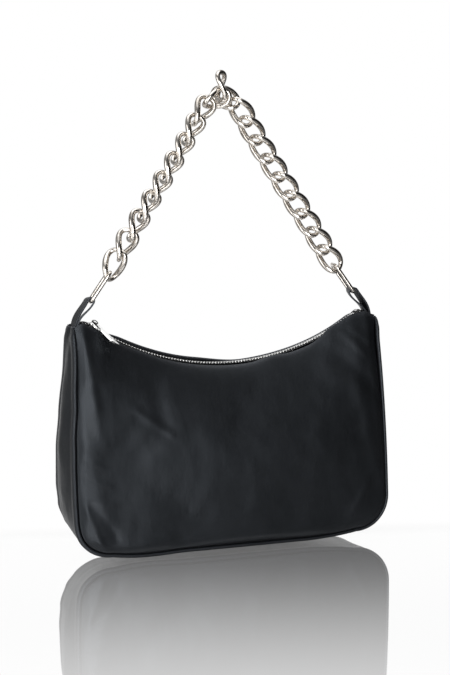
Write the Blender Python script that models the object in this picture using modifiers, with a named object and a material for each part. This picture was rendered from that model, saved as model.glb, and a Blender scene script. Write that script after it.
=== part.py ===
"""A small soft leather baguette bag that hangs from a curb chain strap.

Metres, +Z up, the front faces -Y. The origin is the point that carries the bag: the
inside of the upper bend of the chain's top link.
"""

import math

import bmesh
import bpy
from mathutils import Matrix, Vector

# Bag body
BAG_WIDTH = 0.280
BAG_HEIGHT = 0.186
BAG_TOP_DEPTH = 0.017
BAG_BASE_DEPTH = 0.062
BASE_CORNER_RADIUS = 0.030
BASE_BOW = 0.004
BASE_FLAT_LENGTH = 0.120
BELLY = 0.006
SIDE_BULGE = 0.004
LEATHER = 0.0016
WELT_DIAMETER = 0.0052
BASE_PROUD = 0.0004
LINING = 0.0008
LINING_EASE = 0.0012
LINING_DROP = 0.014
FIT_GAP = 0.0003

# Zip along the top edge
ZIP_END_MARGIN = 0.014
ZIP_SAG = 0.040
ZIP_END_RISE = 0.009
MOUTH_GAP = 0.0120
TAPE = 0.0005
TAPE_PARTING = 0.0018
TAPE_END_INSET = 0.0065
EDGE_LEAVES_ZIP = 0.010
TOOTH_PITCH = 0.0027
TOOTH_LENGTH = 0.0010
TOOTH_WIDTH = 0.0038
TOOTH_HEIGHT = 0.0022
TOOTH_OVERLAP = 0.0018
STOP_LENGTH = 0.0018
STOP_WIDTH = 0.0052
SLIDER_LENGTH = 0.0090
SLIDER_TAIL_WIDTH = 0.0082
SLIDER_NOSE_WIDTH = 0.0090
SLIDER_PLATE = 0.0008
SLIDER_POST_LENGTH = 0.0020
SLIDER_POST_WIDTH = 0.0012
CROWN_REACH = 0.0052
CROWN_RISE = 0.0037
CROWN_WIDTH = 0.0012
CROWN_STRIP = 0.0008
PULL_LENGTH = 0.0310
PULL_THICKNESS = 0.0013
PULL_NECK_WIDTH = 0.0080
PULL_END_WIDTH = 0.0135
PULL_END_CROWN = 0.0012
PULL_BAR_WIDTH = 0.0013
PULL_BAR_RISE = 0.0024
EYE_LENGTH = 0.0040
PULL_WINDOW_LENGTH = 0.0060
PULL_WINDOW_WIDTH = 0.0080
PULL_WINDOW_MARGIN = 0.0026
PULL_TURN = math.radians(52.0)
PULL_DROOP = math.radians(15.0)
PULL_BANK = math.radians(5.0)

# Curb chain
LINKS_A_SIDE = 10
LINK_PITCH = 0.0190
LINK_WIRE = 0.0043
LINK_SIDE_WIRE = 0.0054
LINK_WIDTH = 0.0201
LINK_TWIST_RISE = 0.0030
CHAIN_TILT = math.radians(58.0)
SECOND_TILT = math.radians(54.0)
CHAIN_ROLL = math.radians(-27.0)
TOP_LINK_TURN = math.radians(-20.4)
# Where the first link of each side lies against the lower bend of the top link
FIRST_CENTRE_SHARES = {1: (0.300, 0.228, 0.111), -1: (-0.259, -0.061, 0.031)}
FIRST_TILT = {1: math.radians(30.7), -1: math.radians(22.2)}
FIRST_YAW = {1: math.radians(-14.6), -1: math.radians(6.6)}
FIRST_ROLL = {1: math.radians(-11.5), -1: math.radians(-29.3)}
SECOND_HINGE_SHARES = (0.717, -0.114)
FIRST_PIVOT_SHARE = 0.40
# The last links on the left turn step by step until the ring's bar fits across them
TWISTED_LINKS = 4
TWIST_STEP = math.radians(8.0)

# Rings and the leather tabs that hold them
RING_LENGTH = 0.0330
RING_WIDTH = 0.0190
RING_WIRE = 0.0034
RING_CORNER_RADIUS = 0.0040
RING_TILT = math.radians(54.0)
TAB_RISE = 0.0270
TAB_WIDTH = 0.0110
TAB_FOOT = 0.0100
TAB_EASE = 0.0008
TAB_SPRING = 1.7

# Mesh resolution
LINK_POINTS = 14
RING_CORNER_STEPS = 3
SIDE_ROWS = 6
CORNER_ROWS = 4
PANEL_COLUMNS = 16
LINING_COLUMNS = 8
BAND_SPANS = 6
TAPE_STEPS = 22
TAIL_STEPS = 2
ARC_STEPS = 8
WIRE_RESOLUTION = 2
TIDY_ANGLE = math.radians(0.5)

HALF_WIDTH = BAG_WIDTH / 2
WELT_RADIUS = WELT_DIAMETER / 2
PANEL_INSET = WELT_RADIUS + FIT_GAP + LEATHER / 2
LINK_SPAN = LINK_PITCH + LINK_WIRE + FIT_GAP
LINK_BREADTH = LINK_WIDTH - LINK_SIDE_WIRE
ZIP_HALF = HALF_WIDTH - ZIP_END_MARGIN
ZIP_RADIUS = (ZIP_HALF ** 2 + ZIP_SAG ** 2) / (2 * ZIP_SAG)
PLATE_HEIGHT = TOOTH_HEIGHT / 2 + FIT_GAP
TAPE_ROOM = TAPE / 2 + FIT_GAP
TAPE_END_X = HALF_WIDTH - TAPE_END_INSET
LOOP_RADIUS = RING_WIRE / 2 + TAB_EASE + LEATHER / 2


# Scene helpers

def clear_scene():
    for item in list(bpy.data.objects):
        bpy.data.objects.remove(item, do_unlink=True)


def make_collection(name):
    collection = bpy.data.collections.new(name)
    bpy.context.scene.collection.children.link(collection)
    return collection


def make_material(name, colour, roughness, metallic):
    material = bpy.data.materials.new(name)
    material.use_nodes = True
    shader = material.node_tree.nodes["Principled BSDF"]
    shader.inputs["Base Color"].default_value = (*colour, 1.0)
    shader.inputs["Roughness"].default_value = roughness
    shader.inputs["Metallic"].default_value = metallic
    material.diffuse_color = (*colour, 1.0)
    return material


LEATHER_LOOK = ((0.014, 0.015, 0.018), 0.42, 0.0)
CHAIN_LOOK = ((0.78, 0.77, 0.75), 0.14, 1.0)
ZIP_LOOK = ((0.82, 0.82, 0.81), 0.20, 1.0)
TAPE_LOOK = ((0.010, 0.010, 0.011), 0.85, 0.0)
LINING_LOOK = ((0.020, 0.019, 0.019), 0.80, 0.0)


class Assembly:
    """Keeps the collection and one empty on the joint axis of each moving group."""

    def __init__(self, name):
        self.collection = make_collection(name)
        self.pivots = {}

    def add_pivot(self, name, place, parent=None):
        """Make the empty of a moving group at a place given in the world."""
        empty = bpy.data.objects.new(name + "_pivot", None)
        self.collection.objects.link(empty)
        origin = Vector(place)
        empty.location = origin
        if parent is not None:
            empty.parent = self.pivots[parent][0]
            empty.location = origin - self.pivots[parent][1]
        self.pivots[name] = (empty, origin)

    def add_piece(self, name, data, look, group, matrix=None):
        """Put mesh or curve data, given in the world, under its group's empty."""
        piece = bpy.data.objects.new(name, data)
        self.collection.objects.link(piece)
        empty, origin = self.pivots[group]
        piece.parent = empty
        to_group = Matrix.Translation(-origin)
        if matrix is None:
            data.transform(to_group)
        else:
            piece.matrix_basis = to_group @ matrix
        colour, roughness, metallic = look
        if not data.materials:
            data.materials.append(None)
        piece.material_slots[0].link = "OBJECT"
        piece.material_slots[0].material = make_material(name, colour, roughness, metallic)
        return piece


def grid_mesh(name, rows):
    """Skin a list of rows of points, all of one length, with quads."""
    mesh = bpy.data.meshes.new(name)
    shape = bmesh.new()
    grid = [[shape.verts.new(point) for point in row] for row in rows]
    for low, high in zip(grid, grid[1:]):
        for i in range(len(low) - 1):
            shape.faces.new((low[i], low[i + 1], high[i + 1], high[i]))
    bmesh.ops.recalc_face_normals(shape, faces=shape.faces)
    shape.to_mesh(mesh)
    shape.free()
    mesh.shade_smooth()
    return mesh


def thicken(piece, thickness, offset=0.0):
    wall = piece.modifiers.new("wall", "SOLIDIFY")
    wall.thickness = thickness
    wall.offset = offset


def wire_curve(name, points, diameter, cyclic, swells=None):
    """A round wire along points, as a curve with a bevel; swells scale it point by point."""
    curve = bpy.data.curves.new(name, "CURVE")
    curve.dimensions = "3D"
    spline = curve.splines.new("POLY")
    spline.points.add(len(points) - 1)
    for point, place, swell in zip(spline.points, points, swells or [1.0] * len(points)):
        point.co = (*place, 1.0)
        point.radius = swell
    spline.use_cyclic_u = cyclic
    curve.bevel_depth = diameter / 2
    curve.bevel_resolution = WIRE_RESOLUTION
    curve.use_fill_caps = not cyclic
    return curve


def flat_curve(name, outlines, thickness):
    """A flat plate with holes, as a filled 2D curve."""
    curve = bpy.data.curves.new(name, "CURVE")
    curve.dimensions = "2D"
    curve.fill_mode = "BOTH"
    curve.extrude = thickness / 2
    for outline in outlines:
        spline = curve.splines.new("POLY")
        spline.points.add(len(outline) - 1)
        for point, (x, y) in zip(spline.points, outline):
            point.co = (x, y, 0.0, 1.0)
        spline.use_cyclic_u = True
    return curve


def evaluated_mesh(data, name, modifiers=()):
    """Turn curve or mesh data into a plain welded mesh, with modifiers applied."""
    holder = bpy.data.objects.new(name, data)
    bpy.context.scene.collection.objects.link(holder)
    for kind, settings in modifiers:
        modifier = holder.modifiers.new(kind.lower(), kind)
        for key, value in settings.items():
            setattr(modifier, key, value)
    graph = bpy.context.evaluated_depsgraph_get()
    mesh = bpy.data.meshes.new_from_object(holder.evaluated_get(graph))
    bpy.data.objects.remove(holder, do_unlink=True)
    shape = bmesh.new()
    shape.from_mesh(mesh)
    bmesh.ops.remove_doubles(shape, verts=shape.verts, dist=FIT_GAP / 10)
    bmesh.ops.recalc_face_normals(shape, faces=shape.faces)
    shape.to_mesh(mesh)
    shape.free()
    return mesh


def box_mesh(name, low, high):
    """A box between two corners."""
    mesh = bpy.data.meshes.new(name)
    shape = bmesh.new()
    bmesh.ops.create_cube(shape, size=1.0)
    size = Vector(high) - Vector(low)
    middle = (Vector(high) + Vector(low)) / 2
    bmesh.ops.scale(shape, vec=size, verts=shape.verts)
    bmesh.ops.translate(shape, vec=middle, verts=shape.verts)
    shape.to_mesh(mesh)
    shape.free()
    return mesh


def join_meshes(name, meshes):
    """Put several closed meshes into one, as separate bodies."""
    shape = bmesh.new()
    for mesh in meshes:
        shape.from_mesh(mesh)
    joined = bpy.data.meshes.new(name)
    shape.to_mesh(joined)
    shape.free()
    return joined


def union_meshes(name, meshes):
    """Fuse overlapping closed meshes into one body with exact booleans."""
    base = bpy.data.objects.new(name, meshes[0])
    bpy.context.scene.collection.objects.link(base)
    tools = []
    for mesh in meshes[1:]:
        tool = bpy.data.objects.new(name + "_tool", mesh)
        bpy.context.scene.collection.objects.link(tool)
        tools.append(tool)
        boolean = base.modifiers.new("join", "BOOLEAN")
        boolean.operation = "UNION"
        boolean.object = tool
    graph = bpy.context.evaluated_depsgraph_get()
    fused = bpy.data.meshes.new_from_object(base.evaluated_get(graph))
    for item in [base, *tools]:
        bpy.data.objects.remove(item, do_unlink=True)
    return fused


# Chain: frames, hinge points and rings

def side_frame(side, tilt, yaw, roll):
    """Axes of a flat piece on one side: along it, across it and square to it."""
    along = Vector((side * math.cos(tilt) * math.cos(yaw), math.sin(yaw),
                    -math.sin(tilt) * math.cos(yaw)))
    forward = Vector((0.0, -1.0, 0.0))
    forward = (forward - along * forward.dot(along)).normalized()
    outward = forward.cross(along) * side
    square = forward * math.cos(roll) + outward * math.sin(roll)
    across = square.cross(along)
    return Matrix((along, across, square)).transposed()


def placed(centre, frame):
    return Matrix.Translation(centre) @ frame.to_4x4()


TOP_LOW_BEND = Vector((0.0, 0.0, LINK_WIRE / 2 - LINK_SPAN))


def second_hinge(side):
    """Where the first and second links of a side meet."""
    x_share, z_share = SECOND_HINGE_SHARES
    return TOP_LOW_BEND + Vector((side * x_share, 0.0, z_share)) * LINK_PITCH


def link_tilt(number):
    return SECOND_TILT if number == 2 else CHAIN_TILT


def link_roll(side, number):
    if side > 0:
        return CHAIN_ROLL
    return CHAIN_ROLL + max(0, number - (LINKS_A_SIDE - TWISTED_LINKS)) * TWIST_STEP


def hinge_point(side, number):
    """Where link number of a side meets the piece above it."""
    point = second_hinge(side)
    for step in range(2, number):
        point = point + side_frame(side, link_tilt(step), 0.0, 0.0).col[0] * LINK_PITCH
    return point


def ring_bars(side):
    """Centres of the upper and lower bars of a ring."""
    along = side_frame(side, CHAIN_TILT, 0.0, 0.0).col[0]
    seat = (LINK_WIRE + FIT_GAP) / 2 - (LINK_WIRE + RING_WIRE) / 2 - FIT_GAP
    upper = hinge_point(side, LINKS_A_SIDE + 1) + along * seat
    down = side_frame(side, RING_TILT, 0.0, 0.0).col[0]
    return upper, upper + down * (RING_LENGTH - RING_WIRE)


def first_pivot():
    """The middle of the top link's lower bend, which the first links swing round."""
    return TOP_LOW_BEND + Vector((0.0, 0.0, FIRST_PIVOT_SHARE * LINK_PITCH))


TAB_BAR_X = ring_bars(1)[1].x
TAB_BAR_Z = ring_bars(1)[1].z
CORNER_Z = TAB_BAR_Z - TAB_RISE
BASE_Z = CORNER_Z - BAG_HEIGHT
ZIP_CENTRE_Z = CORNER_Z + ZIP_END_RISE - ZIP_SAG + ZIP_RADIUS


def link_mesh(side_wire):
    """One curb link: an oval wire twisted so that links lie flat in a row, thicker at its sides."""
    points = []
    swells = []
    for i in range(LINK_POINTS):
        turn = math.tau * i / LINK_POINTS
        points.append((LINK_SPAN / 2 * math.cos(turn), LINK_BREADTH / 2 * math.sin(turn),
                       -LINK_TWIST_RISE * math.sin(2 * turn)))
        swells.append(1.0 + (side_wire / LINK_WIRE - 1.0) * math.sin(turn) ** 2)
    mesh = evaluated_mesh(wire_curve("curb_link", points, LINK_WIRE, True, swells), "curb_link")
    mesh.shade_smooth()
    return mesh


def ring_curve():
    """A ring of round wire with straight sides and rounded corners."""
    half_long = (RING_LENGTH - RING_WIRE) / 2
    half_wide = (RING_WIDTH - RING_WIRE) / 2
    points = []
    for corner, (sx, sy) in enumerate(((1, 1), (-1, 1), (-1, -1), (1, -1))):
        for step in range(RING_CORNER_STEPS + 1):
            turn = math.pi / 2 * (corner + step / RING_CORNER_STEPS)
            points.append((sx * (half_long - RING_CORNER_RADIUS) + RING_CORNER_RADIUS * math.cos(turn),
                           sy * (half_wide - RING_CORNER_RADIUS) + RING_CORNER_RADIUS * math.sin(turn),
                           0.0))
    return wire_curve("ring", points, RING_WIRE, True)


def build_chain(bag):
    """The top link, the two halves of the chain and the two rings."""
    slim = link_mesh(LINK_WIRE)
    link = link_mesh(LINK_SIDE_WIRE)
    side_of = {"left": -1, "right": 1}
    upright = Matrix(((0, 0, 1), (0, 1, 0), (-1, 0, 0)))
    turned = Matrix.Rotation(TOP_LINK_TURN, 3, "Z") @ upright
    top_centre = TOP_LOW_BEND + Vector((0.0, 0.0, LINK_SPAN / 2))
    bag.add_pivot("top_link", (0.0, 0.0, 0.0))
    bag.add_piece("top_link", slim.copy(), CHAIN_LOOK, "top_link", placed(top_centre, turned))
    bag.add_pivot("links_01", first_pivot(), "top_link")
    for name, side in side_of.items():
        frame = side_frame(side, FIRST_TILT[side], FIRST_YAW[side], FIRST_ROLL[side])
        centre = TOP_LOW_BEND + Vector(FIRST_CENTRE_SHARES[side]) * LINK_PITCH
        bag.add_piece(f"link_{name}_01", slim.copy(), CHAIN_LOOK, "links_01", placed(centre, frame))
    for number in range(2, LINKS_A_SIDE + 1):
        group = f"links_{number:02d}"
        bag.add_pivot(group, (0.0, 0.0, hinge_point(1, number).z), f"links_{number - 1:02d}")
        for name, side in side_of.items():
            frame = side_frame(side, link_tilt(number), 0.0, link_roll(side, number))
            centre = hinge_point(side, number) + frame.col[0] * (LINK_PITCH / 2)
            bag.add_piece(f"link_{name}_{number:02d}", link.copy(), CHAIN_LOOK, group,
                          placed(centre, frame))
    ring = evaluated_mesh(ring_curve(), "ring")
    ring.shade_smooth()
    bag.add_pivot("rings", (0.0, 0.0, hinge_point(1, LINKS_A_SIDE + 1).z),
                  f"links_{LINKS_A_SIDE:02d}")
    for name, side in side_of.items():
        upper, lower = ring_bars(side)
        frame = side_frame(side, RING_TILT, 0.0, math.pi / 2)
        bag.add_piece(f"{name}_ring", ring.copy(), CHAIN_LOOK, "rings",
                      placed((upper + lower) / 2, frame))


# Bag body: one set of curves that every leather piece follows

def side_depth(z):
    """Half the bag's depth along the side seams, at a height above the base."""
    down = max(0.0, 1.0 - z / BAG_HEIGHT)
    swell = math.sin(math.pi / 2 * min(1.0, down)) ** 0.6
    return BAG_TOP_DEPTH / 2 + (BAG_BASE_DEPTH - BAG_TOP_DEPTH) / 2 * swell


def base_line(x):
    """Height of the base seam, which bows down to a flat middle."""
    flat = BASE_FLAT_LENGTH / 2
    end = HALF_WIDTH - BASE_CORNER_RADIUS
    t = min(1.0, max(0.0, (abs(x) - flat) / (end - flat)))
    return BASE_BOW * t * t


def side_points():
    """Right half of the seam's corner and side, from the base end up, with outward normals."""
    points = []
    centre = (HALF_WIDTH - BASE_CORNER_RADIUS, BASE_BOW + BASE_CORNER_RADIUS)
    for i in range(CORNER_ROWS + 1):
        turn = -math.pi / 2 + math.pi / 2 * i / CORNER_ROWS
        normal = (math.cos(turn), math.sin(turn))
        points.append((centre[0] + BASE_CORNER_RADIUS * normal[0],
                       centre[1] + BASE_CORNER_RADIUS * normal[1], normal))
    for i in range(1, SIDE_ROWS + 1):
        z = centre[1] + (BAG_HEIGHT - centre[1]) * i / SIDE_ROWS
        points.append((HALF_WIDTH, z, (1.0, 0.0)))
    return points


def seam_path():
    """The whole seam from the left top corner round the base to the right one."""
    right = side_points()
    left = [(-x, z, (-nx, nz)) for x, z, (nx, nz) in reversed(right)]
    base = []
    half = PANEL_COLUMNS // 2
    for i in range(-half + 1, half):
        x = (HALF_WIDTH - BASE_CORNER_RADIUS) * i / half
        base.append((x, base_line(x), (0.0, -1.0)))
    return left + base + right


def zip_line(x):
    """Height of the zip's teeth above the base on their circular arc."""
    drop = math.sqrt(max(0.0, ZIP_RADIUS ** 2 - x ** 2))
    return ZIP_CENTRE_Z - BASE_Z - drop


def edge_line(x, leaves, ends, end_z):
    """The zip's arc as far as leaves, then a smooth turn down to end_z at ends."""
    reach = abs(x)
    if reach <= leaves:
        return zip_line(reach)
    start = zip_line(leaves)
    slope = leaves / math.sqrt(ZIP_RADIUS ** 2 - leaves ** 2)
    span = ends - leaves
    t = min(1.0, (reach - leaves) / span)
    rise = start * (2 * t ** 3 - 3 * t ** 2 + 1) + end_z * (3 * t ** 2 - 2 * t ** 3)
    return rise + slope * span * (t ** 3 - 2 * t ** 2 + t)


def mouth_half(x):
    """Half the gap between the two top edges."""
    share = min(1.0, abs(x) / HALF_WIDTH) ** 8
    return MOUTH_GAP / 2 + (BAG_TOP_DEPTH - MOUTH_GAP) / 2 * share


def half_depth(across_share, up_share, side_value):
    """How far a panel stands out from the middle plane."""
    down = 1.0 - up_share
    swell = math.sin(math.pi / 2 * down) ** 0.75
    middle = MOUTH_GAP / 2 + (BAG_BASE_DEPTH - MOUTH_GAP) / 2 * swell
    middle += BELLY * math.sin(math.pi * up_share ** 0.8)
    rim = side_value * (1.0 - up_share ** 6) + mouth_half(across_share * HALF_WIDTH) * up_share ** 6
    return rim + (middle - rim) * (1.0 - abs(across_share) ** 2.4)


def shell_rows(inset, drop, columns):
    """Rows of (x, half depth, z) across one face of the bag, from the base up."""
    sides = [(x - nx * inset, z - nz * inset, z) for x, z, (nx, nz) in side_points()]
    low_z = sides[0][1]
    high_z = sides[-1][1]
    top_half = sides[-1][0]
    rows = []
    for half, z_side, z_seam in sides:
        up = (z_side - low_z) / (high_z - low_z)
        row = []
        for i in range(columns + 1):
            share = 2.0 * i / columns - 1.0
            x = share * half
            base = base_line(x) + inset
            top = edge_line(share * top_half, ZIP_HALF - EDGE_LEAVES_ZIP, top_half, BAG_HEIGHT) - drop
            row.append((x, half_depth(share, up, side_depth(z_seam)), base + (top - base) * up))
        rows.append(row)
    return rows


def build_panels(bag):
    """Front and back panels, each one piece of leather."""
    for name, facing in (("front_panel", -1), ("back_panel", 1)):
        rows = [[(x, facing * depth, BASE_Z + z) for x, depth, z in row]
                for row in shell_rows(PANEL_INSET, 0.0, PANEL_COLUMNS)]
        panel = bag.add_piece(name, grid_mesh(name, rows), LEATHER_LOOK, "bag")
        thicken(panel, LEATHER)


def build_welts(bag):
    """The rolled lips in the seams between the panels and the band."""
    for name, facing in (("front_welt", -1), ("back_welt", 1)):
        points = [(x, facing * side_depth(z), BASE_Z + z) for x, z, _ in seam_path()]
        curve = wire_curve(name, points, WELT_DIAMETER, False)
        bag.add_piece(name, curve, LEATHER_LOOK, "bag")


def build_band(bag):
    """The band that makes both sides and the base, flat where the bag rests."""
    rows = []
    for x, z, (nx, nz) in seam_path():
        edge = side_depth(z) - PANEL_INSET
        on_side = abs(nx)
        row = []
        for i in range(BAND_SPANS + 1):
            share = 2.0 * i / BAND_SPANS - 1.0
            shoulder = math.sin(math.pi / 2 * min(1.0, (1.0 - abs(share)) * 2))
            out = (WELT_RADIUS + BASE_PROUD) * shoulder * (1.0 - on_side)
            out += SIDE_BULGE * math.sin(math.pi * z / BAG_HEIGHT) * math.cos(math.pi / 2 * share) * on_side
            row.append((x + nx * out, share * edge, BASE_Z + z + nz * out))
        rows.append(row)
    band = bag.add_piece("gusset_band", grid_mesh("gusset_band", rows), LEATHER_LOOK, "bag")
    thicken(band, LEATHER, -1.0)


def build_lining(bag):
    """A cloth bag inside the leather, open under the zip."""
    inset = PANEL_INSET + LINING_EASE
    skin = LEATHER / 2 + FIT_GAP + LINING / 2 + LINING_EASE
    rows = []
    for row in shell_rows(inset, LINING_DROP, LINING_COLUMNS):
        front = [(x, skin - depth, BASE_Z + z) for x, depth, z in row]
        back = [(x, depth - skin, BASE_Z + z) for x, depth, z in reversed(row)]
        rows.append(front + back)
    mesh = bpy.data.meshes.new("lining")
    shape = bmesh.new()
    grid = [[shape.verts.new(point) for point in row] for row in rows]
    count = len(rows[0])
    for low, high in zip(grid, grid[1:]):
        for i in range(count):
            j = (i + 1) % count
            shape.faces.new((low[i], low[j], high[j], high[i]))
    floor = grid[0]
    for i in range(LINING_COLUMNS):
        shape.faces.new((floor[i + 1], floor[i], floor[count - 1 - i], floor[count - 2 - i]))
    bmesh.ops.recalc_face_normals(shape, faces=shape.faces)
    shape.to_mesh(mesh)
    shape.free()
    mesh.shade_smooth()
    lining = bag.add_piece("lining", mesh, LINING_LOOK, "bag")
    thicken(lining, LINING)


# Tabs that hold the rings

def hermite(start, start_pull, end, end_pull, steps):
    """Points after start on a smooth curve that ends at end."""
    points = []
    for i in range(1, steps + 1):
        t = i / steps
        a = 2 * t ** 3 - 3 * t ** 2 + 1
        b = t ** 3 - 2 * t ** 2 + t
        c = 3 * t ** 2 - 2 * t ** 3
        d = t ** 3 - t ** 2
        points.append(start * a + start_pull * b + end * c + end_pull * d)
    return points


def build_tabs(bag):
    """A strip of leather folded round each ring's lower bar, its legs in the corner."""
    for name, side in (("left_tab", -1), ("right_tab", 1)):
        bar = Vector((TAB_BAR_X, TAB_BAR_Z))
        outer_x = HALF_WIDTH - LEATHER - FIT_GAP - LEATHER / 2
        inner_x = outer_x - LEATHER - FIT_GAP
        outer_top = Vector((outer_x, CORNER_Z))
        inner_top = Vector((inner_x, CORNER_Z))
        lean = (bar - outer_top).normalized()
        square = Vector((-lean.y, lean.x))
        loop_out = bar - square * LOOP_RADIUS
        pull = lean * (bar - outer_top).length
        up = Vector((0.0, TAB_RISE))
        points = [outer_top - Vector((0.0, TAB_FOOT)), outer_top]
        points += hermite(outer_top, up * TAB_SPRING, loop_out, pull, ARC_STEPS)
        for i in range(1, ARC_STEPS + 1):
            turn = math.pi * i / ARC_STEPS
            points.append(bar - square * LOOP_RADIUS * math.cos(turn) + lean * LOOP_RADIUS * math.sin(turn))
        loop_in = bar + square * LOOP_RADIUS
        points += hermite(loop_in, -pull, inner_top, -up * TAB_SPRING, ARC_STEPS)
        points.append(inner_top - Vector((0.0, TAB_FOOT)))
        rows = [[(side * p.x, y, p.y) for p in points] for y in (-TAB_WIDTH / 2, TAB_WIDTH / 2)]
        tab = bag.add_piece(name, grid_mesh(name, rows), LEATHER_LOOK, "bag")
        thicken(tab, LEATHER)


# Zip

def zip_matrix(angle):
    """Frame of the zip's chain at an angle along its arc: x along, z out of the bag."""
    return (Matrix.Translation((0.0, 0.0, ZIP_CENTRE_Z)) @ Matrix.Rotation(-angle, 4, "Y")
            @ Matrix.Translation((0.0, 0.0, -ZIP_RADIUS)))


ZIP_END_ANGLE = math.asin(ZIP_HALF / ZIP_RADIUS)
SLIDER_REST_ANGLE = -ZIP_END_ANGLE + (SLIDER_LENGTH / 2 + STOP_LENGTH + FIT_GAP) / ZIP_RADIUS


def tooth_row(name, facing, phase):
    """Boxes for the teeth of one tape, clamped on its edge and reaching past the middle."""
    start = SLIDER_REST_ANGLE - TOOTH_LENGTH / ZIP_RADIUS
    end = ZIP_END_ANGLE - (STOP_LENGTH + FIT_GAP) / ZIP_RADIUS
    step = TOOTH_PITCH / ZIP_RADIUS
    near = TOOTH_OVERLAP / 2
    ys = sorted((-facing * near, facing * (TOOTH_WIDTH - near)))
    teeth = []
    angle = start + phase * step
    while angle < end - step / 2:
        tooth = box_mesh(name, (-TOOTH_LENGTH / 2, ys[0], -TOOTH_HEIGHT / 2),
                         (TOOTH_LENGTH / 2, ys[1], TOOTH_HEIGHT / 2))
        tooth.transform(zip_matrix(angle))
        teeth.append(tooth)
        angle += step
    return join_meshes(name + "_teeth", teeth)


def tape_columns():
    """Places along x where the tapes are given points: even between the stops, then the tails."""
    leaves = ZIP_HALF + STOP_LENGTH
    tail = [leaves + (TAPE_END_X - leaves) * i / TAIL_STEPS for i in range(1, TAIL_STEPS + 1)]
    middle = [leaves * (2.0 * i / TAPE_STEPS - 1.0) for i in range(TAPE_STEPS + 1)]
    return [-x for x in reversed(tail)] + middle + tail


def build_tapes(bag):
    """The two cloth tapes, each from its row of teeth out to its panel."""
    wall = ("SOLIDIFY", {"thickness": TAPE, "offset": 0.0})
    for name, facing, phase in (("zip_tape_front", -1, 0.0), ("zip_tape_back", 1, 0.5)):
        inner = []
        outer = []
        for x in tape_columns():
            z = BASE_Z + edge_line(x, ZIP_HALF + STOP_LENGTH, TAPE_END_X, BAG_HEIGHT)
            reach = mouth_half(x) - LEATHER / 2 - FIT_GAP
            inner.append((x, facing * TAPE_PARTING / 2, z))
            outer.append((x, facing * reach, z))
        cloth = evaluated_mesh(grid_mesh(name, [inner, outer]), name, [wall])
        fused = union_meshes(name, [cloth, tooth_row(name, facing, phase)])
        tidy = ("DECIMATE", {"decimate_type": "DISSOLVE", "angle_limit": TIDY_ANGLE})
        tape = evaluated_mesh(fused, name, [tidy])
        bag.add_piece(name, tape, TAPE_LOOK, "bag")


def clamp_mesh(name, web_ys, plate_ys, angle):
    """A stop pressed round a tape's edge: a web in the parting and plates above and below."""
    half = STOP_LENGTH / 2
    high = TOOTH_HEIGHT / 2
    web = box_mesh(name, (-half, web_ys[0], -high), (half, web_ys[1], high))
    upper = box_mesh(name, (-half, plate_ys[0], TAPE_ROOM), (half, plate_ys[1], high))
    lower = box_mesh(name, (-half, plate_ys[0], -high), (half, plate_ys[1], -TAPE_ROOM))
    clamp = union_meshes(name, [web, upper, lower])
    clamp.transform(zip_matrix(angle))
    return clamp


def build_stops(bag):
    """Clamped stops: one on each tape at the closed end and one across both at the other."""
    half = STOP_WIDTH / 2
    web = SLIDER_POST_WIDTH / 2
    inner = FIT_GAP / 2
    stops = (("zip_top_stop_front", (-web, -inner), (-half, -inner), -ZIP_END_ANGLE),
             ("zip_top_stop_back", (inner, web), (inner, half), -ZIP_END_ANGLE),
             ("zip_bottom_stop", (-web, web), (-half, half), ZIP_END_ANGLE))
    for name, web_ys, plate_ys, angle in stops:
        bag.add_piece(name, clamp_mesh(name, web_ys, plate_ys, angle), ZIP_LOOK, "bag")


def slider_outline():
    """Shield outline of the slider's plates: wide nose, narrow tail."""
    half = SLIDER_LENGTH / 2
    nose = SLIDER_NOSE_WIDTH / 2
    tail = SLIDER_TAIL_WIDTH / 2
    corner = SLIDER_PLATE
    right = [(half, tail - corner), (half - corner, tail), (0.0, tail), (-half + corner, nose),
             (-half, nose - corner)]
    left = [(x, -y) for x, y in reversed(right)]
    return right + left


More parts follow.
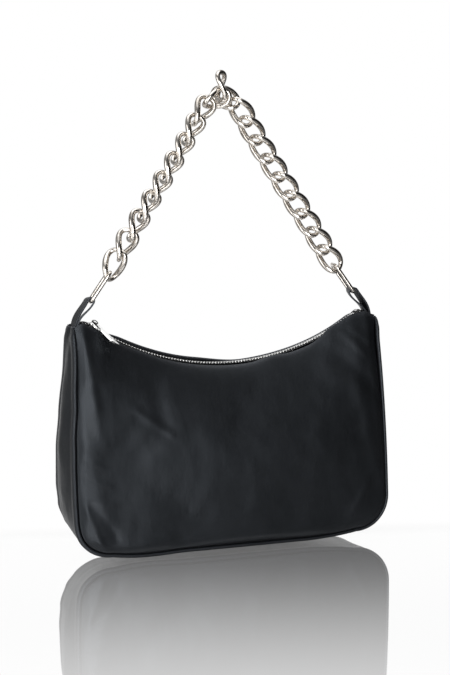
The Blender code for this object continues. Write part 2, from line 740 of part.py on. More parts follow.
def build_slider(bag):
    """Two plates joined by a post, rails down the sides and the crown that holds the pull."""
    top = PLATE_HEIGHT
    plates = []
    for low in (top, -top - SLIDER_PLATE):
        plate = evaluated_mesh(flat_curve("plate", [slider_outline()], SLIDER_PLATE), "plate")
        plate.transform(Matrix.Translation((0.0, 0.0, low + SLIDER_PLATE / 2)))
        plates.append(plate)
    half = SLIDER_LENGTH / 2
    sunk = SLIDER_PLATE / 2
    post = box_mesh("post", (-half + FIT_GAP, -SLIDER_POST_WIDTH / 2, -top - sunk),
                    (-half + FIT_GAP + SLIDER_POST_LENGTH, SLIDER_POST_WIDTH / 2, top + sunk))
    rail_out = SLIDER_TAIL_WIDTH / 2 - FIT_GAP / 2
    rail_in = TOOTH_WIDTH - TOOTH_OVERLAP / 2 + FIT_GAP
    rails = []
    for facing in (-1, 1):
        ys = sorted((facing * rail_in, facing * rail_out))
        for zs in ((TAPE_ROOM, top + sunk), (-top - sunk, -TAPE_ROOM)):
            rails.append(box_mesh("rail", (-half + SLIDER_PLATE, ys[0], zs[0]),
                                  (half - SLIDER_PLATE, ys[1], zs[1])))
    foot = top + sunk
    reach = CROWN_REACH / 2
    rise = top + SLIDER_PLATE + CROWN_RISE + CROWN_STRIP / 2
    path = [(-reach, foot), (-reach, rise - reach / 2)]
    for i in range(1, ARC_STEPS):
        turn = math.pi * (1.0 - i / ARC_STEPS)
        path.append((reach * math.cos(turn), rise - reach / 2 + reach / 2 * math.sin(turn)))
    path += [(reach, rise - reach / 2), (reach, foot)]
    rows = [[(x, y, z) for x, z in path] for y in (-CROWN_WIDTH / 2, CROWN_WIDTH / 2)]
    wall = ("SOLIDIFY", {"thickness": CROWN_STRIP, "offset": 0.0})
    crown = evaluated_mesh(grid_mesh("crown", rows), "crown", [wall])
    body = union_meshes("zip_slider", [plates[0], post, plates[1], *rails, crown])
    body.transform(zip_matrix(SLIDER_REST_ANGLE))
    bag.add_piece("zip_slider", body, ZIP_LOOK, "zip_slider")


def pull_matrix():
    """Frame of the pull at rest: x across it, y along it, z square to it, origin on its bar."""
    turn = Matrix.Rotation(-PULL_TURN, 4, "Z")
    droop = Matrix.Rotation(PULL_DROOP, 4, "Y")
    bank = Matrix.Rotation(PULL_BANK, 4, "X")
    lay = Matrix.Rotation(-math.pi / 2, 4, "Z")
    lift = PLATE_HEIGHT + SLIDER_PLATE + PULL_BAR_RISE
    return (zip_matrix(SLIDER_REST_ANGLE) @ Matrix.Translation((0.0, 0.0, lift))
            @ turn @ droop @ bank @ lay)


def pull_outlines():
    """The pull's outline with its eye and its three-sided window."""
    neck = PULL_NECK_WIDTH / 2
    end = PULL_END_WIDTH / 2
    bar = PULL_BAR_WIDTH / 2
    tip = PULL_LENGTH - bar
    corner = PULL_BAR_WIDTH
    outline = [(-neck + corner, -bar), (neck - corner, -bar), (neck, -bar + corner)]
    steps = ARC_STEPS
    for i in range(steps + 1):
        share = 1.0 - 2.0 * i / steps
        outline.append((end * share, tip - PULL_END_CROWN * share ** 2))
    outline.append((-neck, -bar + corner))
    eye_half = neck - PULL_BAR_WIDTH * 0.75
    eye = [(-eye_half, bar), (-eye_half, bar + EYE_LENGTH), (eye_half, bar + EYE_LENGTH), (eye_half, bar)]
    base = tip - PULL_WINDOW_MARGIN
    half = PULL_WINDOW_WIDTH / 2
    window = [(-half, base), (half, base), (0.0, base - PULL_WINDOW_LENGTH)]
    return [outline, eye, window]


def build_pull(bag):
    mesh = evaluated_mesh(flat_curve("zip_pull", pull_outlines(), PULL_THICKNESS), "zip_pull")
    matrix = pull_matrix()
    mesh.transform(matrix)
    bag.add_piece("zip_pull", mesh, ZIP_LOOK, "zip_pull")


def build():
    clear_scene()
    bag = Assembly("baguette_bag")
    build_chain(bag)
    bag.add_pivot("bag", (0.0, 0.0, TAB_BAR_Z), "rings")
    bag.add_pivot("zip_slider", (0.0, 0.0, ZIP_CENTRE_Z), "bag")
    bag.add_pivot("zip_pull", pull_matrix().translation, "zip_slider")
    build_panels(bag)
    build_welts(bag)
    build_band(bag)
    build_lining(bag)
    build_tabs(bag)
    build_tapes(bag)
    build_stops(bag)
    build_slider(bag)
    build_pull(bag)


build()
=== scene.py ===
"""Looks of a small black leather baguette bag that hangs from a curb chain strap.

Metres, +Z up, the front faces -Y, the origin is where a hook carries the top link. Most
shapes follow the same formulas as the CAD, so each piece lies where its solid lies.
"""

import logging
import math
from contextlib import contextmanager
from dataclasses import dataclass, field
from enum import Enum
from typing import Callable, Iterator, Sequence, TypeVar

import bmesh
import bpy
from mathutils import Matrix, Vector, noise


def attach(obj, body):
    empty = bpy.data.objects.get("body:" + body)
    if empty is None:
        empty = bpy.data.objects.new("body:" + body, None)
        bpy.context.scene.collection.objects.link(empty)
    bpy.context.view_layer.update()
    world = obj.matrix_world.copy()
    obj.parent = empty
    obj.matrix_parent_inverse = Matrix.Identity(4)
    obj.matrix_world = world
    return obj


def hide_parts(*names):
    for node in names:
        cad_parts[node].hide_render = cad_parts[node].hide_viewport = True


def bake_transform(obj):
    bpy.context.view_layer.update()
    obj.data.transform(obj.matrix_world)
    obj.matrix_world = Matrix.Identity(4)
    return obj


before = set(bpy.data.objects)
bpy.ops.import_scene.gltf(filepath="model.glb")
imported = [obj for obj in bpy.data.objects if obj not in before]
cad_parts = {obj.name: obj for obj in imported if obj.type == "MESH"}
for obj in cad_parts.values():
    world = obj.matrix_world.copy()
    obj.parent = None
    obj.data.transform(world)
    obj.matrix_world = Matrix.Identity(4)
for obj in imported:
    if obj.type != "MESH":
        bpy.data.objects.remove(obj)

LOG = logging.getLogger("baguette_bag")
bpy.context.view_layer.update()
MM = 0.001

WHITE = (1.0, 1.0, 1.0, 1.0)
Point = TypeVar("Point", float, Vector)
Socket, Node, Tree = bpy.types.NodeSocket, bpy.types.Node, bpy.types.NodeTree
Item, Mesh, Material = bpy.types.Object, bpy.types.Mesh, bpy.types.Material
Pair = tuple[float, float]
Triple = tuple[float, float, float]


class Named(Enum):
    """A choice whose name is part of its pieces' names."""

    @property
    def word(self) -> str:
        """The choice's name in lower case."""
        return self.name.lower()


class Side(Named):
    """The two halves of the strap, by the sign of X."""

    LEFT = -1
    RIGHT = 1


class Face(Named):
    """The bag's two faces, by the sign of Y."""

    FRONT = -1
    BACK = 1


# Curves

def clamped(share: float) -> float:
    """A share kept between 0 and 1."""
    return min(1.0, max(0.0, share))


def smooth(share: float) -> float:
    """A smooth step from 0 to 1."""
    t = clamped(share)
    return t * t * (3.0 - 2.0 * t)


def spread(steps: int) -> list[float]:
    """Even places from -1 to 1, some steps apart."""
    return [2.0 * i / steps - 1.0 for i in range(steps + 1)]


def hump(place: float, middle: float, reach: float) -> float:
    """A bell curve of height 1 round a middle."""
    return math.exp(-((place - middle) / reach) ** 2)


@dataclass(frozen=True)
class Step:
    """A smooth rise from 0 to a height that begins at a start and takes a reach."""

    start: float
    reach: float
    high: float = 1.0

    def at(self, place: float) -> float:
        """Height at a place."""
        return self.high * smooth((place - self.start) / self.reach)


def read_off(table: Sequence[Pair], place: float) -> float:
    """A value read off a table of places and values, smoothly between its rows.

    Args:
        table: Rows of place and value, rising by place.
        place: Where to read.

    Returns:
        The value there.
    """
    if place <= table[0][0]:
        return table[0][1]
    for (low, start), (high, end) in zip(table, table[1:]):
        if place <= high:
            return start + (end - start) * smooth((place - low) / (high - low))
    return table[-1][1]


def hermite(start: Point, start_pull: Point, end: Point, end_pull: Point, t: float) -> Point:
    """A value or point a share t along the smooth curve between two ends with their pulls."""
    return (start * (2 * t ** 3 - 3 * t ** 2 + 1) + start_pull * (t ** 3 - 2 * t ** 2 + t)
            + end * (3 * t ** 2 - 2 * t ** 3) + end_pull * (t ** 3 - t ** 2))


# Node graphs: shader maths and geometry recipes

class Num:
    """A number socket of a node graph, with Python's operators."""

    def __init__(self, graph: "Graph", socket: Socket) -> None:
        """Wrap a socket of a graph."""
        self.graph = graph
        self.socket = socket

    def _math(self, operation: str, *values: "Num | float") -> "Num":
        """The result of one Math node on the values."""
        return self.graph.number("ShaderNodeMath", 0, {"operation": operation},
                                 dict(enumerate(values)))

    def __add__(self, other: "Num | float") -> "Num":
        """Sum."""
        return self._math("ADD", self, other)

    __radd__ = __add__

    def __mul__(self, other: "Num | float") -> "Num":
        """Product."""
        return self._math("MULTIPLY", self, other)

    __rmul__ = __mul__

    def __sub__(self, other: "Num | float") -> "Num":
        """Difference."""
        return self._math("SUBTRACT", self, other)

    def __rsub__(self, other: "Num | float") -> "Num":
        """Difference from a number on the left."""
        return self._math("SUBTRACT", other, self)

    def sin(self) -> "Num":
        """Sine."""
        return self._math("SINE", self)

    def cos(self) -> "Num":
        """Cosine."""
        return self._math("COSINE", self)

    def clamp(self) -> "Num":
        """The value kept between 0 and 1."""
        return self._math("MINIMUM", self._math("MAXIMUM", self, 0.0), 1.0)

    def ramp(self, low: float, high: float) -> "Num":
        """A smooth step from 0 at low to 1 at high."""
        return self.graph.number("ShaderNodeMapRange", 0, {"interpolation_type": "SMOOTHSTEP"},
                                 {"Value": self, "From Min": low, "From Max": high})


Value = float | Sequence[float] | Num | Socket | Material


class Graph:
    """A node tree under construction, for a material, the world or a geometry recipe."""

    def __init__(self, tree: Tree) -> None:
        """Start from an empty tree."""
        self.tree = tree
        tree.nodes.clear()

    def node(self, kind: str, settings: dict[str, object] | None = None,
             values: dict[str | int, Value] | None = None) -> Node:
        """Add a node.

        Args:
            kind: The node's type.
            settings: Properties of the node, set first.
            values: Inputs by name or number: numbers, colours, wrapped sockets or sockets.

        Returns:
            The new node.
        """
        node = self.tree.nodes.new(kind)
        for key, value in (settings or {}).items():
            setattr(node, key, value)
        for key, value in (values or {}).items():
            source = value.socket if isinstance(value, Num) else value
            if isinstance(source, Socket):
                self.tree.links.new(source, node.inputs[key])
            else:
                node.inputs[key].default_value = source
        return node

    def out(self, kind: str, values: dict[str | int, Value] | None = None) -> Socket:
        """Add a node that needs no settings and take its first output."""
        return self.node(kind, None, values).outputs[0]

    def number(self, kind: str, output: str | int = 0, settings: dict[str, object] | None = None,
               values: dict[str | int, Value] | None = None) -> Num:
        """Add a node, as node does, and take one of its outputs as a number."""
        return Num(self, self.node(kind, settings, values).outputs[output])

    def parts(self, vector: Socket) -> list[Num]:
        """The x, y and z of a vector."""
        split = self.node("ShaderNodeSeparateXYZ", None, {0: vector})
        return [Num(self, output) for output in split.outputs]

    def vector(self, x: Value, y: Value, z: Value) -> Socket:
        """A vector from its x, y and z."""
        return self.out("ShaderNodeCombineXYZ", {0: x, 1: y, 2: z})

    def seen(self, mirrored: Num) -> Num:
        """Where plain white shows: to the camera, and to shiny or clear things for a share."""
        ray = self.node("ShaderNodeLightPath")
        camera, glossy, clear = (Num(self, ray.outputs[f"Is {kind} Ray"])
                                 for kind in ("Camera", "Glossy", "Transmission"))
        return (camera + (glossy + clear) * mirrored).clamp()


class Paint(Graph):
    """A material on one Principled shader, built on Object coordinates."""

    def __init__(self, name: str, constants: dict[str, Value]) -> None:
        """Make the material.

        Args:
            name: The material's name.
            constants: What is the same all over the surface, by the shader's socket.
        """
        self.material = bpy.data.materials.new(name)
        self.material.use_nodes = True
        super().__init__(self.material.node_tree)
        self.shader = self.node("ShaderNodeBsdfPrincipled", None, constants)
        self.output = self.node("ShaderNodeOutputMaterial", None,
                                {"Surface": self.shader.outputs[0]})
        self.place = self.node("ShaderNodeTexCoord").outputs["Object"]

    def feed(self, socket: str, value: Num | Socket) -> None:
        """Link a varying value to the shader."""
        source = value.socket if isinstance(value, Num) else value
        self.tree.links.new(source, self.shader.inputs[socket])

    def stretched(self, scale: Sequence[float], turn: Sequence[float]) -> Socket:
        """Object coordinates turned by angles in radians and scaled by axis."""
        return self.out("ShaderNodeMapping",
                        {"Vector": self.place, "Scale": scale, "Rotation": turn})

    def noise(self, scale: float, detail: float = 3.0, place: Socket | None = None) -> Num:
        """Fractal noise by repeats a metre and octaves, on the object's coordinates if none."""
        return self.number("ShaderNodeTexNoise", "Fac", None,
                           {"Vector": place or self.place, "Scale": scale, "Detail": detail})

    def cells(self, scale: float) -> Num:
        """Distance to the nearest centre of a soft cell pattern, by cells a metre."""
        return self.number("ShaderNodeTexVoronoi", "Distance", {"feature": "SMOOTH_F1"},
                           {"Vector": self.place, "Scale": scale, "Smoothness": 0.6})

    def threads(self, place: Num, pitch: float) -> Num:
        """A wave between -1 and 1 that repeats at each thread along a coordinate."""
        return (place * (math.tau / pitch)).sin()

    def mix(self, share: Num, low: Sequence[float] | Socket,
            high: Sequence[float]) -> Socket:
        """Blend two colours by a share from 0 for low to 1 for high."""
        blend = self.node("ShaderNodeMix", {"data_type": "RGBA"}, {0: share, 6: low, 7: high})
        return blend.outputs[2]

    def bump(self, height: Num, strength: float, distance: float,
             under: Socket | None = None) -> Socket:
        """A bump of a real height in metres, over the normal of an optional layer below it."""
        below = {} if under is None else {"Normal": under}
        return self.out("ShaderNodeBump", {"Height": height, "Strength": strength,
                                           "Distance": distance, **below})


def rgba(red: float, green: float, blue: float) -> tuple[float, float, float, float]:
    """An opaque colour."""
    return (red, green, blue, 1.0)


# Finishes

@dataclass(frozen=True)
class LeatherFinish:
    """Smooth black leather: fine grain, soft creases, a satin coat, and paler edges: rubbing and
    painted sheen.
    """

    name: str = "soft_black_leather"
    deep: tuple = rgba(0.0026, 0.0028, 0.0033)
    lifted: tuple = rgba(0.0048, 0.0051, 0.0060)
    # Colour of the paler edges, lips and tabs: partly rubbing, partly a painted highlight of the
    # sheen
    worn: tuple = rgba(0.030, 0.031, 0.035)
    sheen: tuple = rgba(0.80, 0.89, 1.0)
    grain_scale: float = 1150.0
    roughness: float = 0.35

    def build(self) -> Material:
        """Build the material."""
        paint = Paint(self.name, {"Specular IOR Level": 0.46, "Specular Tint": self.sheen,
                                  "Coat Roughness": 0.25, "Coat IOR": 1.4})
        cloud = paint.noise(19.0, 4.0)
        fine = paint.noise(310.0)
        grain = paint.cells(self.grain_scale)
        pores = paint.noise(5200.0, 2.0)
        # Paler turned edges, seam lips and tabs: partly rubbing, partly a painted highlight of the
        # leather's sheen
        wear = paint.number("ShaderNodeAttribute", "Fac", {"attribute_name": "wear"})
        colour = paint.mix(cloud.ramp(0.35, 0.72), self.deep, self.lifted)
        colour = paint.mix((wear * (0.65 + 0.7 * fine)).clamp(), colour, self.worn)
        paint.feed("Base Color", colour)
        paint.feed("Roughness", self.roughness + 0.13 * fine + 0.08 * cloud - 0.05 * wear)
        paint.feed("Coat Weight", (0.16 - 0.14 * fine).clamp())
        creased = paint.noise(95.0, 5.0, paint.stretched((1.0, 1.0, 0.45), (0.0, 0.5, 0.0)))
        soft = paint.bump(creased, 0.32, 0.9 * MM)
        paint.feed("Normal", paint.bump(0.7 * grain + 0.3 * pores, 0.22, 0.18 * MM, soft))
        return paint.material


@dataclass(frozen=True)
class MetalFinish:
    """Polished plating with hairlines and faint cloudy patches that are darker and duller."""

    name: str
    bright: tuple
    warm: tuple
    roughness: float
    hairline: float = 0.10

    def build(self) -> Material:
        """Build the material."""
        paint = Paint(self.name, {"Metallic": 1.0})
        cloud = paint.noise(140.0)
        lines = paint.noise(160.0, 3.0, paint.stretched((1.0, 1.0, 9.0), (0.4, 0.7, 0.2)))
        specks = paint.noise(2600.0, 2.0)
        paint.feed("Base Color", paint.mix(cloud.ramp(0.42, 0.75), self.bright, self.warm))
        dulled = 0.10 * cloud * lines
        paint.feed("Roughness", self.roughness + dulled + 0.05 * specks.ramp(0.55, 0.8))
        paint.feed("Normal", paint.bump(lines, self.hairline, 0.03 * MM))
        return paint.material


@dataclass(frozen=True)
class TapeFinish:
    """Matt black woven tape: fine ribs across it and a thread pattern along it."""

    name: str = "black_woven_tape"
    thread: tuple = rgba(0.022, 0.022, 0.024)
    gap: tuple = rgba(0.004, 0.004, 0.005)
    rib_pitch: float = 0.55 * MM
    thread_pitch: float = 0.70 * MM

    def build(self) -> Material:
        """Build the material."""
        paint = Paint(self.name, {"Specular IOR Level": 0.25, "Sheen Weight": 0.15})
        x, y, _ = paint.parts(paint.place)
        along, across = paint.threads(x, self.rib_pitch), paint.threads(y, self.thread_pitch)
        weave = 0.5 + 0.25 * along + 0.25 * across * along
        fuzz = paint.noise(3000.0, 2.0)
        paint.feed("Base Color", paint.mix((weave * (0.5 + fuzz)).clamp(), self.gap, self.thread))
        paint.feed("Roughness", 0.78 + 0.15 * fuzz)
        paint.feed("Normal", paint.bump(weave + 0.4 * fuzz, 0.5, 0.12 * MM))
        return paint.material


@dataclass(frozen=True)
class LiningFinish:
    """Matt black lining cloth with a plain weave."""

    name: str = "black_lining_cloth"
    warp: tuple = rgba(0.026, 0.025, 0.026)
    gap: tuple = rgba(0.008, 0.008, 0.008)
    pitch: float = 0.8 * MM

    def build(self) -> Material:
        """Build the material."""
        paint = Paint(self.name, {"Specular IOR Level": 0.2, "Sheen Weight": 0.2})
        x, _, z = paint.parts(paint.place)
        weave = 0.5 + 0.5 * paint.threads(x, self.pitch) * paint.threads(z, self.pitch)
        blotch = paint.noise(45.0)
        lit = (weave * (0.6 + 0.6 * blotch)).clamp()
        paint.feed("Base Color", paint.mix(lit, self.gap, self.warp))
        paint.feed("Roughness", 0.75 + 0.2 * blotch)
        paint.feed("Normal", paint.bump(weave, 0.4, 0.1 * MM))
        return paint.material


@dataclass
class Finishes:
    """The materials of the bag, built once."""

    leather: Material = field(default_factory=lambda: LeatherFinish().build())
    chain: Material = field(default_factory=lambda: MetalFinish(
        "polished_chain_metal", rgba(0.80, 0.755, 0.70), rgba(0.42, 0.385, 0.345), 0.12).build())
    zip_metal: Material = field(default_factory=lambda: MetalFinish(
        "polished_zip_metal", rgba(0.86, 0.86, 0.85), rgba(0.72, 0.71, 0.69), 0.12).build())
    teeth: Material = field(default_factory=lambda: MetalFinish(
        "zip_teeth_metal", rgba(0.84, 0.84, 0.83), rgba(0.60, 0.60, 0.58), 0.20).build())
    tape: Material = field(default_factory=lambda: TapeFinish().build())
    lining: Material = field(default_factory=lambda: LiningFinish().build())


# Mesh helpers

def linked(name: str, data: bpy.types.ID) -> Item:
    """A new object on some data, in the scene at the origin."""
    item = bpy.data.objects.new(name, data)
    bpy.context.scene.collection.objects.link(item)
    return item


def baked(item: Item) -> Mesh:
    """A new plain mesh of an object as its modifiers or curve make it."""
    graph = bpy.context.evaluated_depsgraph_get()
    return bpy.data.meshes.new_from_object(item.evaluated_get(graph))


def taken(*items: Item) -> Mesh:
    """The first object's plain mesh, after which all the objects are removed."""
    mesh = baked(items[0])
    for item in items:
        bpy.data.objects.remove(item, do_unlink=True)
    return mesh


@contextmanager
def edited(mesh: Mesh) -> Iterator[bmesh.types.BMesh]:
    """A mesh opened for editing and written back at the end of the block."""
    shape = bmesh.new()
    shape.from_mesh(mesh)
    yield shape
    shape.to_mesh(mesh)
    shape.free()


def add_object(name: str, mesh: Mesh, material: Material) -> Item:
    """Put a finished mesh in the scene at the origin.

    Args:
        name: The piece's name.
        mesh: Its mesh, in place.
        material: Its finish.

    Returns:
        The new object.
    """
    mesh.materials.clear()
    mesh.materials.append(material)
    mesh.shade_smooth()
    return linked(name, mesh)


def grid_mesh(name: str, rows: Sequence[Sequence[Vector]], wrap: bool = False) -> Mesh:
    """Skin rows of points with quads.

    Args:
        name: The mesh's name.
        rows: Rows of points, all of one length.
        wrap: Whether each row closes on itself.

    Returns:
        The mesh.
    """
    mesh = bpy.data.meshes.new(name)
    width = len(rows[0])
    faces = []
    for r in range(len(rows) - 1):
        for c in range(width if wrap else width - 1):
            d = (c + 1) % width
            faces.append((r * width + c, r * width + d, (r + 1) * width + d, (r + 1) * width + c))
    mesh.from_pydata([tuple(point) for row in rows for point in row], [], faces)
    mesh.update()
    return mesh


def add_sheet(name: str, rows: Sequence[Sequence[Vector]], material: Material,
              wear: Sequence[float] = ()) -> Item:
    """Put a sheet in the scene that goes through rows of points.

    Args:
        name: The piece's name.
        rows: Rows of points, all of one length.
        material: Its finish.
        wear: How pale the leather is painted, point by point, if it is leather: partly rubbing,
            partly a painted sheen.

    Returns:
        The new object.
    """
    mesh = grid_mesh(name, rows)
    if wear:
        mesh.attributes.new("wear", "FLOAT", "POINT").data.foreach_set("value", wear)
    return add_object(name, mesh, material)


def add_wall(piece: Item, thickness: float, offset: float) -> None:
    """Give a sheet its thickness, offset as Solidify counts it."""
    wall = piece.modifiers.new("wall", "SOLIDIFY")
    wall.thickness = thickness
    wall.offset = offset


def add_bevel(piece: Item, width: float, angle: float) -> bpy.types.Modifier:
    """Round the edges of a piece that turn by more than an angle in degrees."""
    rim = piece.modifiers.new("rim", "BEVEL")
    rim.width = width
    rim.segments = 3
    rim.limit_method = "ANGLE"
    rim.angle_limit = math.radians(angle)
    return rim


def apply(piece: Item) -> None:
    """Turn an object's modifiers into its plain mesh."""
    mesh = baked(piece)
    piece.modifiers.clear()
    piece.data = mesh


def finish_shell(piece: Item, thickness: float, outward: Callable[[Vector], Vector],
                 bevel: float = 0.0, offset: float = -1.0) -> None:
    """Face a sheet outwards, give it its thickness and round its edges.

    Args:
        piece: The sheet.
        thickness: Leather or cloth thickness in metres.
        outward: Direction a face at a point should look.
        bevel: Radius of the rounded rim, none if 0.
        offset: Where the wall lies, as Solidify gives it.
    """
    with edited(piece.data) as shape:
        bmesh.ops.recalc_face_normals(shape, faces=shape.faces)
        score = sum(face.normal.dot(outward(face.calc_center_median())) * face.calc_area()
                    for face in shape.faces)
        if score < 0:
            bmesh.ops.reverse_faces(shape, faces=shape.faces)
    add_wall(piece, thickness, offset)
    if bevel:
        add_bevel(piece, bevel, 50.0)
    apply(piece)
    piece.data.shade_smooth()


class Recipe(Graph):
    """A Geometry Nodes tree with named inputs that makes one plain mesh."""

    def __init__(self, name: str) -> None:
        """Start the tree with a geometry output."""
        tree = bpy.data.node_groups.new(name, "GeometryNodeTree")
        super().__init__(tree)
        tree.interface.new_socket("Geometry", in_out="OUTPUT", socket_type="NodeSocketGeometry")
        self.keys: dict[str, str] = {}
        self.inputs = self.node("NodeGroupInput")
        self.result = self.node("NodeGroupOutput")

    def sizes(self, *names: str, kind: str = "NodeSocketFloat") -> list[Num]:
        """Add named inputs.

        Args:
            names: The inputs' names.
            kind: Their type, NodeSocketInt for counts.

        Returns:
            The inputs' values inside the tree.
        """
        for name in names:
            socket = self.tree.interface.new_socket(name, in_out="INPUT", socket_type=kind)
            self.keys[name] = socket.identifier
        return [Num(self, self.inputs.outputs[name]) for name in names]

    def tube(self, line: Socket, wire: Num, steps: Num | int,
             scale: Num | float = 1.0) -> Socket:
        """Round wire along a curve, with some steps round it, scaled point by point."""
        section = self.out("GeometryNodeCurvePrimitiveCircle",
                           {"Resolution": steps, "Radius": wire * 0.5})
        return self.out("GeometryNodeCurveToMesh",
                        {"Curve": line, "Profile Curve": section, "Scale": scale})

    def close(self, geometry: Socket, material: Material) -> None:
        """End the tree in Realize Instances and Set Material."""
        real = self.out("GeometryNodeRealizeInstances", {0: geometry})
        dressed = self.out("GeometryNodeSetMaterial", {"Geometry": real, "Material": material})
        self.tree.links.new(dressed, self.result.inputs[0])

    def run(self, name: str, sizes: dict[str, float]) -> Mesh:
        """Evaluate the tree.

        Args:
            name: The mesh's name.
            sizes: A value for each named input.

        Returns:
            A plain mesh.
        """
        holder = linked(name, bpy.data.meshes.new(name))
        modifier = holder.modifiers.new("recipe", "NODES")
        modifier.node_group = self.tree
        for key, value in sizes.items():
            modifier[self.keys[key]] = value
        mesh = taken(holder)
        mesh.name = name
        return mesh


# The strap: curb chain and rings

@dataclass
class Strap:
    """Top link, ten links a side and two rings, placed by the CAD's formulas and then sagged."""

    finishes: Finishes
    pitch: float = 19.0 * MM
    wire: float = 4.3 * MM
    side_wire: float = 5.45 * MM
    slim: float = 0.4 * MM
    width: float = 20.6 * MM
    rise: float = 4.8 * MM
    reach: float = 3.2 * MM
    gap: float = 0.3 * MM
    tilt: float = math.radians(58.0)
    second_tilt: float = math.radians(54.0)
    first_hinge: Vector = field(default_factory=lambda: Vector((0.717, 0.0, -0.114)))
    roll: float = math.radians(-27.0)
    left_roll: float = math.radians(-24.0)
    turned_from: Step = Step(1.0, 3.0)
    slant: float = math.radians(9.0)
    sag: float = 2.6 * MM
    sag_from: Step = Step(1.0, 2.6)
    sag_until: Step = Step(-0.4, 7.5)
    top_rise: float = 3.0 * MM
    top_turn: float = math.radians(-20.4)
    links: int = 10
    straight: int = 7
    ring_length: float = 33.0 * MM
    ring_width: float = 18.0 * MM
    ring_wire: float = 3.4 * MM
    ring_slim: float = 0.3 * MM
    ring_turn: float = math.radians(82.0)
    ring_corner: float = 4.0 * MM
    ring_tilt: float = math.radians(54.0)
    ring_roll: float = math.radians(52.0)
    ring_roll_power: float = 1.6
    steps: int = 72
    round_steps: int = 20
    first_centre: dict = field(default_factory=lambda: {
        Side.RIGHT: (0.300, 0.228, 0.111), Side.LEFT: (-0.259, -0.061, 0.031)})
    first_turns: dict = field(default_factory=lambda: {
        Side.RIGHT: (30.7, -14.6, -11.5), Side.LEFT: (22.2, 6.6, -29.3)})

    @property
    def span(self) -> float:
        """Length of a link between the centres of its bends."""
        return self.pitch + self.wire + self.gap

    @property
    def low_bend(self) -> Vector:
        """Centre of the top link's lower bend."""
        return Vector((0.0, 0.0, self.wire / 2 - self.span))

    @staticmethod
    def frame(side: Side, tilt: float, yaw: float = 0.0, roll: float = 0.0) -> Matrix:
        """Axes of a flat piece: along it, across it and square to it.

        Args:
            side: The half of the strap.
            tilt: Angle down from level.
            yaw: Angle out of the bag's plane.
            roll: Turn about its own length.

        Returns:
            The axes as a matrix's columns.
        """
        way = side.value
        level = math.cos(tilt) * math.cos(yaw)
        along = Vector((way * level, math.sin(yaw), -math.sin(tilt) * math.cos(yaw)))
        forward = Vector((0.0, -1.0, 0.0))
        forward = (forward - along * forward.dot(along)).normalized()
        outward = forward.cross(along) * way
        square = forward * math.cos(roll) + outward * math.sin(roll)
        return Matrix((along, square.cross(along), square)).transposed()

    def link_tilt(self, number: int) -> float:
        """A link's angle down from level."""
        return self.second_tilt if number == 2 else self.tilt

    def link_roll(self, side: Side, number: int) -> float:
        """A link's turn about its length; the last on the left turn to meet the ring."""
        if side is Side.RIGHT:
            return self.roll
        last = max(0.0, (number - self.straight) / (self.links - self.straight))
        back = self.ring_roll * last ** self.ring_roll_power
        return self.roll + self.left_roll * self.turned_from.at(number) + back

    def sagged(self, side: Side, number: int) -> Vector:
        """How far a link hangs inside the straight line, as a loaded chain does."""
        share = self.sag_from.at(number) * self.sag_until.at(self.links - number)
        return Vector((-side.value * self.sag * share, 0.0, 0.0))

    def hinge(self, side: Side, number: int) -> Vector:
        """Where a link meets the piece above it.

        Args:
            side: The half of the strap.
            number: The link, counted from the top.

        Returns:
            The point.
        """
        step_out = Vector((side.value * self.first_hinge.x, 0.0, self.first_hinge.z))
        point = self.low_bend + step_out * self.pitch
        for step in range(2, number):
            point = point + self.frame(side, self.link_tilt(step)).col[0] * self.pitch
        return point

    def ring_bars(self, side: Side) -> tuple[Vector, Vector]:
        """Centres of a ring's upper and lower bars."""
        seat = (self.wire + self.gap) / 2 - (self.wire + self.ring_wire) / 2 - self.gap
        upper = self.hinge(side, self.links + 1) + self.frame(side, self.tilt).col[0] * seat
        down = self.frame(side, self.ring_tilt).col[0]
        return upper, upper + down * (self.ring_length - self.ring_wire)

    def link_recipe(self) -> Recipe:
        """The Geometry Nodes tree of one twisted, swollen curb link."""
        recipe = Recipe("curb_link_recipe")
        span, breadth, wire, swell, rise = recipe.sizes("Span", "Breadth", "Wire", "Swell", "Rise")
        around, about = recipe.sizes("Steps", "Round Steps", kind="NodeSocketInt")
        loop = recipe.out("GeometryNodeCurvePrimitiveCircle", {"Resolution": around, "Radius": 1.0})
        turn = recipe.number("GeometryNodeSplineParameter", "Factor") * math.tau
        place = recipe.vector(span * 0.5 * turn.cos(), breadth * 0.5 * turn.sin(),
                              rise * -1.0 * (turn * 2.0).sin())
        bent = recipe.out("GeometryNodeSetPosition", {"Geometry": loop, "Position": place})
        thicker = 1.0 + swell * turn.sin() * turn.sin()
        recipe.close(recipe.tube(bent, wire, about, thicker), self.finishes.chain)
        return recipe

    def ring_recipe(self) -> Recipe:
        """The Geometry Nodes tree of a ring of round wire with rounded corners."""
        recipe = Recipe("strap_ring_recipe")
        length, width, corner, wire = recipe.sizes("Length", "Width", "Corner", "Wire")
        outline = recipe.node("GeometryNodeCurvePrimitiveQuadrilateral", {"mode": "RECTANGLE"},
                              {"Width": length - wire, "Height": width - wire})
        rounded = recipe.node("GeometryNodeFilletCurve", {"mode": "POLY"}, {
            "Curve": outline.outputs[0], "Radius": corner, "Count": 10})
        even = recipe.out("GeometryNodeResampleCurve", {"Curve": rounded.outputs[0], "Count": 96})
        recipe.close(recipe.tube(even, wire, 18), self.finishes.chain)
        return recipe

    def add_link(self, recipe: Recipe, name: str, node: str, body: str, swell: float,
                 centre: Vector, axes: Matrix) -> None:
        """Make one link in place and let it stand for its solid.

        Args:
            recipe: The link's tree.
            name: The piece's name.
            node: The CAD node it replaces.
            body: The body it rides on.
            swell: How much thicker its sides are, as a share; 0 for the plain links at the top.
            centre: Its centre.
            axes: Its axes.
        """
        mesh = recipe.run(name, {"Span": self.span + (self.reach if swell else 0.0),
                                 "Breadth": self.width - self.side_wire,
                                 "Wire": self.wire - (self.slim if swell else 0.0), "Swell": swell,
                                 "Rise": self.rise if swell else self.top_rise,
                                 "Steps": self.steps, "Round Steps": self.round_steps})
        self.add_metal(name, mesh, node, body, centre, axes)

